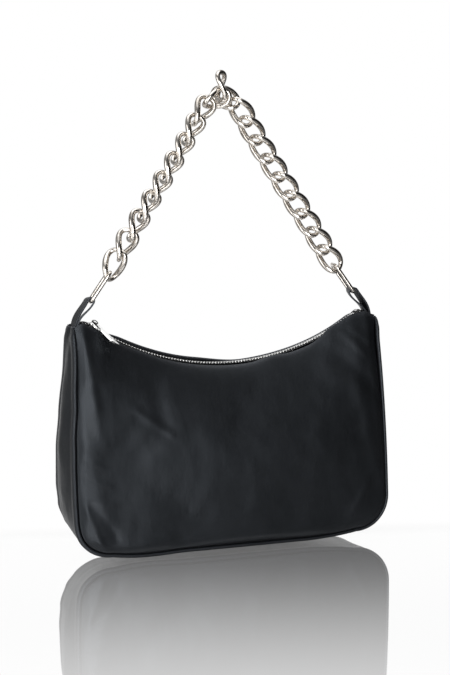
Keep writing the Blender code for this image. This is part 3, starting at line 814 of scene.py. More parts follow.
    def add_metal(self, name: str, mesh: Mesh, node: str, body: str, centre: Vector,
                  axes: Matrix) -> None:
        """Put a link or ring in its place and let it stand for its solid.

        Args:
            name: The piece's name.
            mesh: Its mesh, flat at the origin.
            node: The CAD node it replaces.
            body: The body it rides on.
            centre: Its centre.
            axes: Its axes.
        """
        mesh.transform(Matrix.Translation(centre) @ axes.to_4x4())
        piece = add_object(name, mesh, self.finishes.chain)
        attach(piece, body)
        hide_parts(node)

    def build(self) -> None:
        """Build every link and ring."""
        recipe = self.link_recipe()
        swell = self.side_wire / (self.wire - self.slim) - 1.0
        upright = Matrix(((0, 0, 1), (0, 1, 0), (-1, 0, 0)))
        turned = Matrix.Rotation(self.top_turn, 3, "Z") @ upright
        centre = self.low_bend + Vector((0.0, 0.0, self.span / 2))
        self.add_link(recipe, "top_chain_link", "top_link", "top_link", 0.0, centre, turned)
        for side in Side:
            axes = self.frame(side, *(math.radians(angle) for angle in self.first_turns[side]))
            centre = self.low_bend + Vector(self.first_centre[side]) * self.pitch
            self.add_link(recipe, f"chain_{side.word}_01", f"link_{side.word}_01", "links_01", 0.0,
                          centre, axes)
            for number in range(2, self.links + 1):
                axes = self.frame(side, self.link_tilt(number), 0.0, self.link_roll(side, number))
                middle = self.hinge(side, number) + axes.col[0] * (self.pitch / 2)
                middle = middle + self.sagged(side, number)
                axes = axes @ Matrix.Rotation(self.slant * self.turned_from.at(number), 3, "Z")
                key = f"{side.word}_{number:02d}"
                self.add_link(recipe, f"chain_{key}", f"link_{key}", f"links_{number:02d}",
                              swell, middle, axes)
            self.add_ring(side)

    def add_ring(self, side: Side) -> None:
        """Make one ring in place."""
        upper, lower = self.ring_bars(side)
        mesh = self.ring_recipe().run(f"{side.word}_strap_ring", {
            "Length": self.ring_length, "Width": self.ring_width, "Corner": self.ring_corner,
            "Wire": self.ring_wire - self.ring_slim})
        turn = self.ring_turn if side is Side.RIGHT else math.pi - self.ring_turn
        self.add_metal(f"{side.word}_strap_ring", mesh, f"{side.word}_ring", "rings",
                       (upper + lower) / 2, self.frame(side, self.ring_tilt, 0.0, turn))


# The bag's form: one set of curves that every leather piece follows

# The slump of the bag's left side: height above the base, and how far it moves to the right
SLUMP_FRONT = ((0, -8.0), (14, -7.6), (31, -6.4), (51, -7.0), (74, -6.9), (97, -6.2),
               (132, -3.2), (176, 0.0))
SLUMP_BACK = ((0, 5.0), (14, 2.4), (24, 0.0), (40, -3.8), (58, -5.4), (87, -5.3),
              (118, -3.2), (160, 0.0))


@dataclass(frozen=True)
class BagForm:
    """Sizes and curves of the bag's body, as in the CAD, and how the soft body slumps."""

    base_z: float
    corner_z: float
    tab_bar: Pair
    width: float = 280.0 * MM
    height: float = 186.0 * MM
    top_depth: float = 17.0 * MM
    base_depth: float = 62.0 * MM
    corner_radius: float = 30.0 * MM
    bow: float = 4.0 * MM
    flat_length: float = 120.0 * MM
    belly: float = 9.5 * MM
    side_bulge: float = 5.0 * MM
    leather: float = 1.6 * MM
    welt: float = 2.6 * MM
    fit: float = 0.3 * MM
    zip_margin: float = 14.0 * MM
    zip_sag: float = 40.0 * MM
    zip_rise: float = 9.0 * MM
    mouth: float = 12.0 * MM
    edge_leaves: float = 10.0 * MM
    shoulder: float = 11.0 * MM
    shoulder_rise: float = 6.3 * MM
    shoulder_foot: float = 1.5 * MM
    inset: float = 1.6 * MM
    slump_depth: float = 56.0
    slump: Step = Step(60.0, 78.0)
    base_drop: Step = Step(50.0, 50.0, 2.6)
    base_up: Step = Step(0.0, 60.0)
    left_ear: Step = Step(122.0, 16.0, 5.6)
    right_ear: Step = Step(122.0, 16.0, 2.4)
    ear_up: Step = Step(150.0, 34.0)
    right_spread: Step = Step(126.0, 14.0, 1.6)
    spread_up: Step = Step(166.0, 20.0)

    @property
    def half_width(self) -> float:
        """Half the bag's width."""
        return self.width / 2

    @property
    def zip_half(self) -> float:
        """Half the zip's length across the bag."""
        return self.half_width - self.zip_margin

    @property
    def zip_radius(self) -> float:
        """Radius of the zip's arc."""
        return (self.zip_half ** 2 + self.zip_sag ** 2) / (2 * self.zip_sag)

    @property
    def zip_centre_z(self) -> float:
        """Height of the centre of the zip's arc."""
        return self.corner_z + self.zip_rise - self.zip_sag + self.zip_radius

    @property
    def middle(self) -> Vector:
        """The middle of the bag's body."""
        return Vector((0.0, 0.0, self.base_z + self.height / 2))

    def side_depth(self, z: float) -> float:
        """Half the depth along the side seams at a height above the base."""
        swell = math.sin(math.pi / 2 * clamped(1.0 - z / self.height)) ** 0.6
        return self.top_depth / 2 + (self.base_depth - self.top_depth) / 2 * swell

    def base_line(self, x: float) -> float:
        """Height of the base seam, which bows down to a flat middle."""
        flat, end = self.flat_length / 2, self.half_width - self.corner_radius
        return self.bow * clamped((abs(x) - flat) / (end - flat)) ** 2

    def side_points(self, corner_rows: int, side_rows: int) -> list[tuple[float, float, Pair]]:
        """Right half of the seam's corner and side, from the base up.

        Args:
            corner_rows: Steps round the corner.
            side_rows: Steps up the side.

        Returns:
            x, z above the base, and the outward normal, point by point.
        """
        points = []
        centre = (self.half_width - self.corner_radius, self.bow + self.corner_radius)
        for i in range(corner_rows + 1):
            turn = -math.pi / 2 + math.pi / 2 * i / corner_rows
            normal = (math.cos(turn), math.sin(turn))
            points.append((centre[0] + self.corner_radius * normal[0],
                           centre[1] + self.corner_radius * normal[1], normal))
        for i in range(1, side_rows + 1):
            z = centre[1] + (self.height - centre[1]) * i / side_rows
            points.append((self.half_width, z, (1.0, 0.0)))
        return points

    def seam(self, corner_rows: int, side_rows: int, base_steps: int) -> list:
        """The whole seam from the left top corner round the base to the right one.

        Args:
            corner_rows: Steps round each corner.
            side_rows: Steps up each side.
            base_steps: Steps along the base.

        Returns:
            x, z above the base, and the outward normal, point by point.
        """
        right = self.side_points(corner_rows, side_rows)
        left = [(-x, z, (-nx, nz)) for x, z, (nx, nz) in reversed(right)]
        half = base_steps // 2
        places = [(self.half_width - self.corner_radius) * i / half for i in range(-half + 1, half)]
        return left + [(x, self.base_line(x), (0.0, -1.0)) for x in places] + right

    def zip_line(self, x: float) -> float:
        """Height of the zip's arc above the base."""
        drop = math.sqrt(max(0.0, self.zip_radius ** 2 - x ** 2))
        return self.zip_centre_z - self.base_z - drop

    def climb(self, reach: float, leaves: float, ends: float, high: float) -> float:
        """Height of an edge that follows the zip's arc and then turns smoothly to level.

        Args:
            reach: Distance from the middle of the bag.
            leaves: Where the edge leaves the arc.
            ends: Where it is level again.
            high: Its height there.

        Returns:
            Height above the base.
        """
        if reach <= leaves:
            return self.zip_line(reach)
        span = ends - leaves
        slope = leaves / math.sqrt(self.zip_radius ** 2 - leaves ** 2)
        share = min(1.0, (reach - leaves) / span)
        return hermite(self.zip_line(leaves), slope * span, high, 0.0, share)

    def panel_top(self, x: float) -> float:
        """Height above the base of a panel's turned edge, which stays up until it meets the tab."""
        crest, high = self.half_width - self.shoulder, self.height + self.shoulder_rise
        if abs(x) < crest:
            return self.climb(abs(x), self.zip_half - self.edge_leaves, crest, high)
        drop = smooth((abs(x) - crest) / (self.shoulder - self.inset))
        return high + (self.height + self.shoulder_foot - high) * drop

    def settle(self, point: Vector) -> Vector:
        """Where a point of the soft body lies once the bag has slumped to its left.

        Args:
            point: The point on the even body.

        Returns:
            The point on the slumped body.
        """
        x, y, z = point.x / MM, point.y / MM, (point.z - self.base_z) / MM
        front = clamped(0.5 - y / self.slump_depth)
        bulge = front * read_off(SLUMP_FRONT, z) + (1.0 - front) * read_off(SLUMP_BACK, z)
        right = bulge * self.slump.at(-x) + self.right_spread.at(x) * self.spread_up.at(z)
        drop = front * self.base_drop.at(-x) * (1.0 - self.base_up.at(z))
        lift = (self.left_ear.at(-x) + self.right_ear.at(x)) * self.ear_up.at(z)
        return point + Vector((right, 0.0, lift - drop)) * MM

    def mouth_half(self, x: float) -> float:
        """Half the gap between the two top edges."""
        share = min(1.0, abs(x) / self.half_width) ** 8
        return self.mouth / 2 + (self.top_depth - self.mouth) / 2 * share

    def half_depth(self, across: float, up: float, side: float) -> float:
        """How far a panel stands out from the middle plane.

        Args:
            across: Place across the panel from -1 to 1.
            up: Place up the panel from 0 to 1.
            side: Half the depth at the side seam there.

        Returns:
            The distance.
        """
        swell = math.sin(math.pi / 2 * (1.0 - up)) ** 0.75
        middle = self.mouth / 2 + (self.base_depth - self.mouth) / 2 * swell
        middle += self.belly * math.sin(math.pi * up ** 0.8)
        rim = side * (1.0 - up ** 6) + self.mouth_half(across * self.half_width) * up ** 6
        return rim + (middle - rim) * (1.0 - abs(across) ** 2.1)


@dataclass(frozen=True)
class Fold:
    """A soft ridge, or a dent where high is negative, along a line on a panel, in millimetres."""

    start: Pair
    end: Pair
    wide: float
    high: float

    def at(self, x: float, z: float) -> float:
        """Height of the fold in millimetres.

        Args:
            x: Place across the bag in millimetres.
            z: Height above the base in millimetres.

        Returns:
            The height.
        """
        ax, az = self.start
        dx, dz = self.end[0] - ax, self.end[1] - az
        length = math.hypot(dx, dz)
        along = ((x - ax) * dx + (z - az) * dz) / length
        off = ((x - ax) * dz - (z - az) * dx) / length
        past = max(0.0, -along, along - length)
        return self.high * math.exp(-((off / self.wide) ** 2) - (past / (1.6 * self.wide)) ** 2)


FRONT_FOLDS = (
    Fold((-131, 176), (-124, 128), 4.5, 0.9), Fold((-125, 124), (-117, 96), 5.0, 0.5),
    Fold((-129, 92), (-121, 40), 9.0, 1.2), Fold((-134, 84), (-118, 76), 2.2, 0.35),
    Fold((-132, 68), (-114, 60), 2.4, 0.35), Fold((-130, 50), (-112, 45), 2.6, 0.40),
    Fold((-133, 42), (-121, 15), 3.2, 0.9), Fold((-126, 44), (-110, 20), 3.6, -0.6),
    Fold((-122, 148), (-98, 146), 6.0, 0.7), Fold((-71, 138), (-69, 110), 9.0, -1.3),
    Fold((-88, 120), (-64, 101), 3.6, 0.7), Fold((-60, 128), (-20, 118), 9.0, 0.6),
    Fold((-40, 96), (66, 84), 24.0, 1.6), Fold((20, 132), (70, 138), 10.0, -0.8),
    Fold((104, 181), (124, 160), 3.6, 0.9), Fold((112, 184), (132, 168), 3.0, 0.6),
    Fold((100, 160), (128, 132), 7.0, -0.9), Fold((118, 120), (128, 60), 7.0, 0.7),
    Fold((120, 48), (104, 20), 4.0, 0.6), Fold((-100, 10), (100, 12), 6.0, 0.5),
    Fold((-96, 76), (-60, 40), 12.0, -0.7), Fold((60, 60), (104, 44), 10.0, -0.6))

BACK_FOLDS = (
    Fold((-128, 172), (-118, 134), 5.0, 0.8), Fold((-122, 96), (-128, 44), 7.0, 0.8),
    Fold((-84, 128), (-52, 112), 5.0, 0.6), Fold((-30, 100), (60, 92), 22.0, 1.4),
    Fold((40, 136), (84, 128), 8.0, -0.8), Fold((108, 178), (126, 150), 4.0, 0.8),
    Fold((112, 110), (126, 66), 7.0, 0.8), Fold((118, 46), (100, 18), 4.0, 0.6),
    Fold((-118, 44), (-102, 18), 4.0, 0.6), Fold((-70, 60), (-20, 44), 11.0, -0.7))

# The seam's lip, as outward distance, distance in from the seam and paleness, partly rubbing
# and partly a painted highlight on the crest: its groove in millimetres, then its crest in
# shares of the lip's height
LIP_GROOVE = ((-1.6, 2.4, 0.0), (-1.4, 0.8, 0.0), (-1.0, -0.1, 0.1), (-0.2, -0.6, 0.25),
              (0.7, -0.6, 0.25))
LIP_CREST = ((0.65, -0.1, 0.2), (0.85, 0.9, 0.15), (0.97, 2.2, 0.1), (1.0, 3.8, 0.1),
             (0.93, 5.8, 0.05))

# How the band's top ends roll over: up and outwards in millimetres, row by row
END_ROLLS = ((0.8, -0.25), (1.3, -0.9), (1.2, -1.9))


@dataclass
class LeatherBody:
    """The two panels, and the gusset band whose edges roll into the seam's lips."""

    form: BagForm
    finishes: Finishes
    columns: int = 150
    corner_rows: int = 18
    side_rows: int = 84
    rim: float = 0.55 * MM
    puff: float = 2.6 * MM
    puff_reach: float = 7.0 * MM
    sunk: float = 0.5 * MM
    rough_sag: float = 1.25 * MM
    lip_span: float = 13.0 * MM
    lip_fade: float = 9.0 * MM
    band_wall: float = 1.1 * MM
    band_rim: float = 0.3 * MM
    band_columns: int = 20
    band_rows: tuple[int, int, int] = (22, 90, 160)
    lip_share: float = 0.84
    flat_lip: Step = Step(0.0, 120.0, 0.16)
    flat_up: Step = Step(0.0, 90.0)
    edge_bumps: tuple[Triple, ...] = ((40.0, 13.0, 2.55), (-80.0, 16.0, 0.75))
    edge_rise: float = 0.2
    held_rise: Step = Step(76.0, 22.0, 4.0)
    held_fade: Step = Step(112.0, 16.0, 0.55)
    low_dip: Step = Step(-118.0, 12.0, 1.5)
    low_end: Step = Step(84.0, 12.0)
    back_rise: float = 1.3
    back_wave: Pair = (21.0, 0.3)
    back_slack: Step = Step(-18.0, 45.0, 3.4)
    back_end: Step = Step(92.0, 24.0)

    def edge_distance(self, x: float, z: float) -> float:
        """Distance from a point of a panel to its sewn edge.

        Args:
            x: Place across the bag.
            z: Height above the base.

        Returns:
            The distance, not counting the top edge.
        """
        form = self.form
        cx, cz = form.half_width - form.corner_radius, form.bow + form.corner_radius
        if abs(x) > cx and z < cz:
            return max(0.0, form.corner_radius - form.inset - math.hypot(abs(x) - cx, z - cz))
        inside = min(form.half_width - abs(x), z - form.base_line(x))
        return max(0.0, inside - form.inset)

    def lift(self, face: Face, place: float) -> float:
        """How far the turned top edge rises past the zip.

        Args:
            face: The panel.
            place: Place across the bag in metres.

        Returns:
            The rise in metres.
        """
        x = place / MM
        if face is Face.BACK:
            slack = self.back_slack.at(-x) * (1.0 - self.back_end.at(-x))
            length, high = self.back_wave
            return (self.back_rise + high * math.sin(x / length) + slack) * MM
        bumps = sum(high * hump(x, middle, reach) for middle, reach, high in self.edge_bumps)
        held = self.held_rise.at(x) * (1.0 - self.held_fade.at(x))
        low = self.low_dip.at(x) * (1.0 - self.low_end.at(x))
        return (self.edge_rise + bumps - low + held) * MM

    def surface(self, face: Face, folds: Sequence[Fold]) -> tuple[list[list[Vector]], list[float]]:
        """Points of a panel's outer surface.

        Args:
            face: The panel.
            folds: Its soft folds.

        Returns:
            Rows of points from the base up, and how pale each point is, for rubbing and painted
            sheen.
        """
        form = self.form
        places = form.side_points(self.corner_rows, self.side_rows)
        sides = [(x - nx * form.inset, z - nz * form.inset, z) for x, z, (nx, nz) in places]
        low, high, top_half = sides[0][1], sides[-1][1], sides[-1][0]
        rows, wear = [], []
        for half, z_side, z_seam in sides:
            up = (z_side - low) / (high - low)
            row = []
            for t in spread(self.columns):
                share = 0.3 * t + 0.7 * math.sin(math.pi / 2 * t)
                x = share * half
                base = form.base_line(x) + form.inset
                top, lift = form.panel_top(share * top_half), self.lift(face, x)
                z = base + (top - base) * up + lift * up ** 12
                row.append(self.point(face, folds, share, up, form.side_depth(z_seam), x, z))
                # The turned top edge is painted paler: partly rubbing, partly a painted highlight
                # along it
                turned = hump((top + lift - z) / MM, 0.0, 2.2)
                wear.append(turned * (0.75 if abs(x) < top_half - 4 * MM else 0.4))
            rows.append(row)
        return rows, wear

    def point(self, face: Face, folds: Sequence[Fold], share: float, up: float, side: float,
              x: float, z: float) -> Vector:
        """One point of a panel's outer surface.

        Args:
            face: The panel.
            folds: Its soft folds.
            share: Place across from -1 to 1.
            up: Place up from 0 to 1.
            side: Half the depth at the side seam.
            x: Place across the bag.
            z: Height above the base.

        Returns:
            The point in the world.
        """
        form = self.form
        depth = form.half_depth(share, up, side)
        near = min(1.0, self.edge_distance(x, z) / self.puff_reach)
        plump = math.sqrt(max(0.0, 1.0 - (1.0 - near) ** 2))
        calm = smooth(near) * (1.0 - up ** 8)
        depth += self.puff * plump * (1.0 - 0.75 * up ** 10) - self.sunk * (1.0 - near)
        depth += sum(fold.at(x / MM, z / MM) for fold in folds) * MM * calm
        wave = noise.noise(Vector((x * 26.0, face.value * 3.0, z * 22.0)))
        small = noise.noise(Vector((x * 75.0, face.value * 7.0, z * 60.0)))
        depth += self.rough_sag * (wave + 0.25 * small) * calm
        return form.settle(Vector((x, face.value * depth, form.base_z + z)))

    def build_panel(self, face: Face) -> None:
        """Make one panel and let it stand for its solid."""
        rows, wear = self.surface(face, FRONT_FOLDS if face is Face.FRONT else BACK_FOLDS)
        piece = add_sheet(f"{face.word}_leather", rows, self.finishes.leather, wear)
        outward = Vector((0.0, face.value, 0.0))
        finish_shell(piece, self.form.leather, lambda place: outward, self.rim)
        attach(piece, "bag")
        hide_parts(f"{face.word}_panel")

    def section(self, x: float, z: float, on_side: float) -> list[Triple]:
        """The band's section from the front groove, over both lips, to the back groove.

        Args:
            x: Place across the bag.
            z: Height above the base.
            on_side: 1 on a side, 0 on the base.

        Returns:
            Outward distance, y and paleness for rubbing and painted sheen, point by point.
        """
        form = self.form
        depth = form.side_depth(z)
        near = min(1.0, depth / self.lip_span)
        flatter = self.flat_lip.at(x / MM) * (1.0 - self.flat_up.at(z / MM))
        lip = form.welt / MM * (self.lip_share - flatter)
        lip *= 1.0 - 0.65 * smooth((z - form.height) / self.lip_fade + 1.0)
        # The lip's paleness: rubbing, and a painted highlight along its crest
        profile = [*LIP_GROOVE, *((share * lip, into, rubbed_and_lit) for share, into, rubbed_and_lit in LIP_CREST)]
        front = [(out * MM, -depth + into * near * MM, rubbed_and_lit) for out, into, rubbed_and_lit in profile]
        edge = -front[-1][1] - 1.6 * near * MM
        crease = 0.7 * math.sin(z / (23.0 * MM) + x / (40.0 * MM))
        rise = math.sin(math.pi * clamped(z / form.height))
        middle = []
        for share in spread(self.band_columns):
            y = share * edge
            hollow = math.cos(math.pi / 2 * share)
            wave = noise.noise(Vector((z * 48.0, y * 90.0, x * 9.0)))
            out = (form.side_bulge * rise - 0.9 * MM) * hollow * on_side + self.lip_share * lip * MM
            out += (0.6 * wave + 0.5 * crease) * hollow * MM * (0.4 + 0.6 * on_side)
            middle.append((out, y, 0.0))
        return front + middle + [(out, -y, rubbed_and_lit) for out, y, rubbed_and_lit in reversed(front)]

    def build_band(self) -> None:
        """Make the band with its lips, rolled over at both top ends."""
        form = self.form
        rows, wear = [], []
        for x, z, (nx, nz) in form.seam(*self.band_rows):
            row = []
            for out, y, rubbed_and_lit in self.section(x, z, abs(nx)):
                row.append(form.settle(Vector((x + nx * out, y, form.base_z + z + nz * out))))
                wear.append(rubbed_and_lit)
            rows.append(row)
        left, right = rows[0], rows[-1]
        for up, into in END_ROLLS:
            rows = [[point + Vector((-into, 0.0, up)) * MM for point in left], *rows,
                    [point + Vector((into, 0.0, up)) * MM for point in right]]
            # The rolled top ends are painted pale: a painted highlight on the roll, partly rubbing
            wear = [0.8] * len(left) + wear + [0.8] * len(right)
        piece = add_sheet("gusset_leather", rows, self.finishes.leather, wear)
        finish_shell(piece, self.band_wall, lambda place: (place - form.middle).normalized(),
                     self.band_rim)
        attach(piece, "bag")
        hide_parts("gusset_band", "front_welt", "back_welt")

    def build(self) -> None:
        """Build the panels and the band."""
        for face in Face:
            self.build_panel(face)
            LOG.info("%s panel with its folds", face.word)
        self.build_band()
        LOG.info("gusset band with rolled lips")


@dataclass
class Lining:
    """The cloth bag inside the leather, open under the zip, with soft creases."""

    form: BagForm
    finishes: Finishes
    cloth: float = 0.8 * MM
    ease: float = 1.2 * MM
    drop: float = 14.0 * MM
    crease: float = 1.2 * MM
    columns: int = 56

    def build(self) -> None:
        """Make the lining as one open bag."""
        form = self.form
        inset = form.inset + 2.0 * self.ease
        skin = form.leather / 2 + form.fit + self.cloth / 2 + self.ease
        sides = [(x - nx * inset, z - nz * inset, z) for x, z, (nx, nz) in form.side_points(8, 40)]
        low, high, top_half = sides[0][1], sides[-1][1], sides[-1][0]
        leaves = form.zip_half - form.edge_leaves
        rows = []
        for half, z_side, z_seam in sides:
            up = (z_side - low) / (high - low)
            front, back = [], []
            for share in spread(self.columns):
                x = share * half
                base = form.base_line(x) + inset
                top = form.climb(abs(share * top_half), leaves, top_half, form.height) - self.drop
                z = base + (top - base) * up
                depth = form.half_depth(share, up, form.side_depth(z_seam)) - skin
                fold = noise.noise(Vector((x * 60.0, 1.7, z * 14.0))) * 0.5 - 0.5
                depth += fold * self.crease * (1.0 - share ** 4)
                front.append(form.settle(Vector((x, -depth, form.base_z + z))))
                back.append(form.settle(Vector((x, depth, form.base_z + z))))
            rows.append(front + back[::-1])
        mesh = grid_mesh("lining_bag", rows, True)
        with edited(mesh) as shape:
            shape.verts.ensure_lookup_table()
            last = 2 * self.columns + 1
            for i in range(self.columns):
                shape.faces.new([shape.verts[k] for k in (i + 1, i, last - i, last - 1 - i)])
        piece = add_object("lining_bag", mesh, self.finishes.lining)
        finish_shell(piece, self.cloth, lambda place: place - form.middle, 0.0, 0.0)
        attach(piece, "bag")
        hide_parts("lining")


@dataclass
class Tabs:
    """Leather strips folded round the rings' lower bars, their legs in the bag's corners."""

    form: BagForm
    finishes: Finishes
    rise: float = 27.0 * MM
    width: float = 11.0 * MM
    foot: float = 10.0 * MM
    foot_width: float = 1.10
    loop: float = 3.3 * MM
    spring: float = 1.7
    twist: float = math.radians(21.0)
    ring_twist: float = math.radians(6.5)
    ring_lean: float = 0.08
    rim: float = 0.4 * MM
    steps: int = 26
    across: int = 14

    def path(self) -> list[Vector]:
        """The strip's path in the plane of X and Z, on the right side."""
        form = self.form
        bar = Vector(form.tab_bar)
        outer = Vector((form.half_width - 1.5 * form.leather - form.fit, form.corner_z))
        inner = Vector((outer.x - form.leather - form.fit, form.corner_z))
        pull = bar - outer
        lean = pull.normalized()
        square = Vector((-lean.y, lean.x)) * self.loop
        up, foot = Vector((0.0, self.rise * self.spring)), Vector((0.0, self.foot))
        shares = [i / self.steps for i in range(1, self.steps + 1)]
        points = [outer - foot, outer - foot / 2, outer]
        points += [hermite(outer, up, bar - square, pull, t) for t in shares]
        points += [bar - square * math.cos(math.pi * t) + lean * self.loop * math.sin(math.pi * t)
                   for t in shares]
        points += [hermite(bar + square, -pull, inner, -up, t) for t in shares]
        return points + [inner - foot / 2, inner - foot]

    def build_tab(self, side: Side) -> None:
        """Make one tab, twisted to meet the ring's bar."""
        form, path = self.form, self.path()
        rows, wear = [], []
        for number, p in enumerate(path):
            near = clamped((p.y - form.corner_z) / self.rise)
            free = smooth(near)
            along_path = math.pi * number / (len(path) - 1)
            turn = free * (self.ring_twist - self.twist * math.cos(along_path))
            lean = side.value * self.ring_lean * free
            wide = self.width / 2 * (1.0 + (self.foot_width - 1.0) * (1.0 - near))
            along = Vector((math.sin(turn), math.cos(turn), lean)) * wide
            shares = spread(self.across)
            rows.append([Vector((side.value * p.x, 0.0, p.y)) + along * share for share in shares])
            # Tabs painted paler: a painted sheen on the face, the edges paler still for rubbing and
            # sheen
            wear += [0.85 if abs(share) > 0.9 else 0.22 for share in shares]
        piece = add_sheet(f"{side.word}_tab_leather", rows, self.finishes.leather, wear)
        bar = Vector((side.value * form.tab_bar[0], 0.0, form.tab_bar[1] - 6.0 * MM))
        finish_shell(piece, form.leather, lambda place: place - bar, self.rim, 0.0)
        start = (side.value * form.tab_bar[0], 0.0, form.tab_bar[1])
        end = (side.value * (form.half_width - 3.0 * MM), 0.0, form.corner_z)
        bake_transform(piece)
        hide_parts(f"{side.word}_tab")

    def build(self) -> None:
        """Make both tabs."""
        for side in Side:
            self.build_tab(side)


# Zip

@dataclass
class Zip:
    """Two woven tapes with their metal teeth, the stops, the slider and its pull."""

    form: BagForm
    finishes: Finishes
    tape: float = 0.5 * MM
    cord: float = 0.45 * MM
    tape_sag: float = 0.35 * MM
    tape_steps: int = 220
    tape_columns: int = 8
    parting: float = 1.8 * MM
    end_inset: float = 6.5 * MM
    pitch: float = 2.7 * MM
    tooth_length: float = 1.25 * MM
    tooth_width: float = 3.8 * MM
    tooth_height: float = 2.4 * MM
    overlap: float = 1.8 * MM
    stop_length: float = 1.8 * MM
    stop_width: float = 5.2 * MM
    stop_web: float = 0.6 * MM
    stop_rise: float = 1.1 * MM
    stop_bevel: float = 0.18 * MM
    tape_room: float = 0.55 * MM
    slider_length: float = 9.0 * MM
    tail_width: float = 8.2 * MM
    tail_corner: float = 1.6 * MM
    nose_width: float = 9.0 * MM
    nose_corner: float = 2.0 * MM
    plate: float = 0.8 * MM
    post: Triple = (0.3 * MM, 2.3 * MM, 0.6 * MM)
    rail_inset: float = 1.4 * MM
    rail_edge: float = 0.15 * MM
    slider_bevel: float = 0.16 * MM
    crown_reach: float = 5.2 * MM
    crown_rise: float = 3.7 * MM
    crown_width: float = 1.2 * MM
    crown_strip: float = 0.8 * MM
    pull_length: float = 31.0 * MM
    pull_thick: float = 1.3 * MM
    pull_bevel: float = 0.22 * MM
    neck: float = 8.0 * MM
    neck_corner: float = 1.3 * MM
    neck_cut: float = 0.4 * MM
    end: float = 13.5 * MM
    end_crown: float = 1.2 * MM
    end_corner: float = 0.9 * MM
    end_steps: int = 24
    bar: float = 1.3 * MM
    bar_rise: float = 2.4 * MM
    eye: float = 4.0 * MM
    window: Triple = (6.0 * MM, 8.0 * MM, 2.6 * MM)
    turn: float = math.radians(52.0)
    droop: float = math.radians(15.0)
    bank: float = math.radians(5.0)

    @property
    def end_angle(self) -> float:
        """Angle of the zip's ends along its arc."""
        return math.asin(self.form.zip_half / self.form.zip_radius)

    @property
    def rest_angle(self) -> float:
        """Angle of the slider at rest."""
        reach = self.slider_length / 2 + self.stop_length + self.form.fit
        return -self.end_angle + reach / self.form.zip_radius

    @property
    def plate_height(self) -> float:
        """Height of a slider plate's inner face over the tape's plane."""
        return self.stop_rise + self.form.fit

    def matrix(self, angle: float) -> Matrix:
        """Frame of the zip at an angle along its arc: x along, z out of the bag."""
        form = self.form
        return (Matrix.Translation((0.0, 0.0, form.zip_centre_z)) @ Matrix.Rotation(-angle, 4, "Y")
                @ Matrix.Translation((0.0, 0.0, -form.zip_radius)))

    def build_tape(self, face: Face) -> None:
        """Make one tape with its corded edge."""
        form = self.form
        rows = []
        half, leaves = form.half_width - self.end_inset, form.zip_half + self.stop_length
        for place in spread(self.tape_steps):
            x = half * place
            z = form.base_z + form.climb(abs(x), leaves, half, form.height)
            near, far = self.parting / 2, form.mouth_half(x) - form.leather / 2 - form.fit
            row = []
            for j in range(self.tape_columns + 1):
                share = j / self.tape_columns
                cord = self.cord * hump(share, 0.06, 0.12)
                sag = self.tape_sag * math.sin(math.pi * share)
                row.append(Vector((x, face.value * (near + (far - near) * share), z + cord - sag)))
            rows.append(row)
        piece = add_sheet(f"{face.word}_tape", rows, self.finishes.tape)
        finish_shell(piece, self.tape, lambda place: Vector((0.0, 0.0, 1.0)), 0.0, 0.0)
        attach(piece, "bag")
        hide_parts(f"zip_tape_{face.word}")

    def teeth_recipe(self) -> Recipe:
        """The Geometry Nodes tree of one row of rounded teeth along the arc."""
        recipe = Recipe("zip_teeth_recipe")
        count, = recipe.sizes("Count", kind="NodeSocketInt")
        start, step, radius = recipe.sizes("Start", "Step", "Radius")
        height, middle = recipe.sizes("Centre Height", "Middle")
        length, width, tall = recipe.sizes("Tooth Length", "Tooth Width", "Tooth Height")
        line = recipe.out("GeometryNodeMeshLine", {"Count": count})
        angle = start + step * recipe.number("GeometryNodeInputIndex")
        place = recipe.vector(radius * angle.sin(), middle, height - radius * angle.cos())
        along = recipe.out("GeometryNodeSetPosition", {"Geometry": line, "Position": place})
        block = recipe.out("GeometryNodeMeshCube", {"Size": recipe.vector(length, width, tall)})
        soft = recipe.out("GeometryNodeSubdivisionSurface",
                          {"Mesh": block, "Level": 2, "Edge Crease": 0.72})
        row = recipe.out("GeometryNodeInstanceOnPoints", {
            "Points": along, "Instance": soft, "Rotation": recipe.vector(0.0, angle * -1.0, 0.0)})
        recipe.close(row, self.finishes.teeth)
        return recipe

    def build_teeth(self) -> None:
        """Make both rows of teeth, half a step apart."""
        form = self.form
        recipe = self.teeth_recipe()
        first = self.rest_angle - self.tooth_length / form.zip_radius
        last = self.end_angle - (self.stop_length + form.fit) / form.zip_radius
        step = self.pitch / form.zip_radius
        for face, phase in ((Face.FRONT, 0.0), (Face.BACK, 0.5)):
            start = first + phase * step
            mesh = recipe.run(f"{face.word}_teeth", {
                "Count": int((last - step / 2 - start) / step) + 1, "Start": start, "Step": step,
                "Radius": form.zip_radius, "Centre Height": form.zip_centre_z,
                "Middle": face.value * (self.tooth_width - self.overlap) / 2,
                "Tooth Length": self.tooth_length, "Tooth Width": self.tooth_width,
                "Tooth Height": self.tooth_height})
            piece = add_object(f"{face.word}_teeth", mesh, self.finishes.teeth)
            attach(piece, "bag")

    def metal(self, name: str, mesh: Mesh, body: str, node: str, bevel: float) -> None:
        """Round a metal piece's edges and let it stand for its solid.

        Args:
            name: The piece's name.
            mesh: Its mesh in place.
            body: The body it rides on.
            node: The CAD node it replaces.
            bevel: Radius of its edges.
        """
        piece = add_object(name, mesh, self.finishes.zip_metal)
        add_bevel(piece, bevel, 40.0).harden_normals = True
        apply(piece)
        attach(piece, body)
        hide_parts(node)

    @staticmethod
    def block(low: Sequence[float], high: Sequence[float]) -> Mesh:
        """A block between two corners, to be joined to others and bevelled."""
        mesh = bpy.data.meshes.new("block")
        with edited(mesh) as shape:
            bmesh.ops.create_cube(shape, size=1.0)
            bmesh.ops.scale(shape, vec=Vector(high) - Vector(low), verts=shape.verts)
            bmesh.ops.translate(shape, vec=(Vector(high) + Vector(low)) / 2, verts=shape.verts)
        return mesh

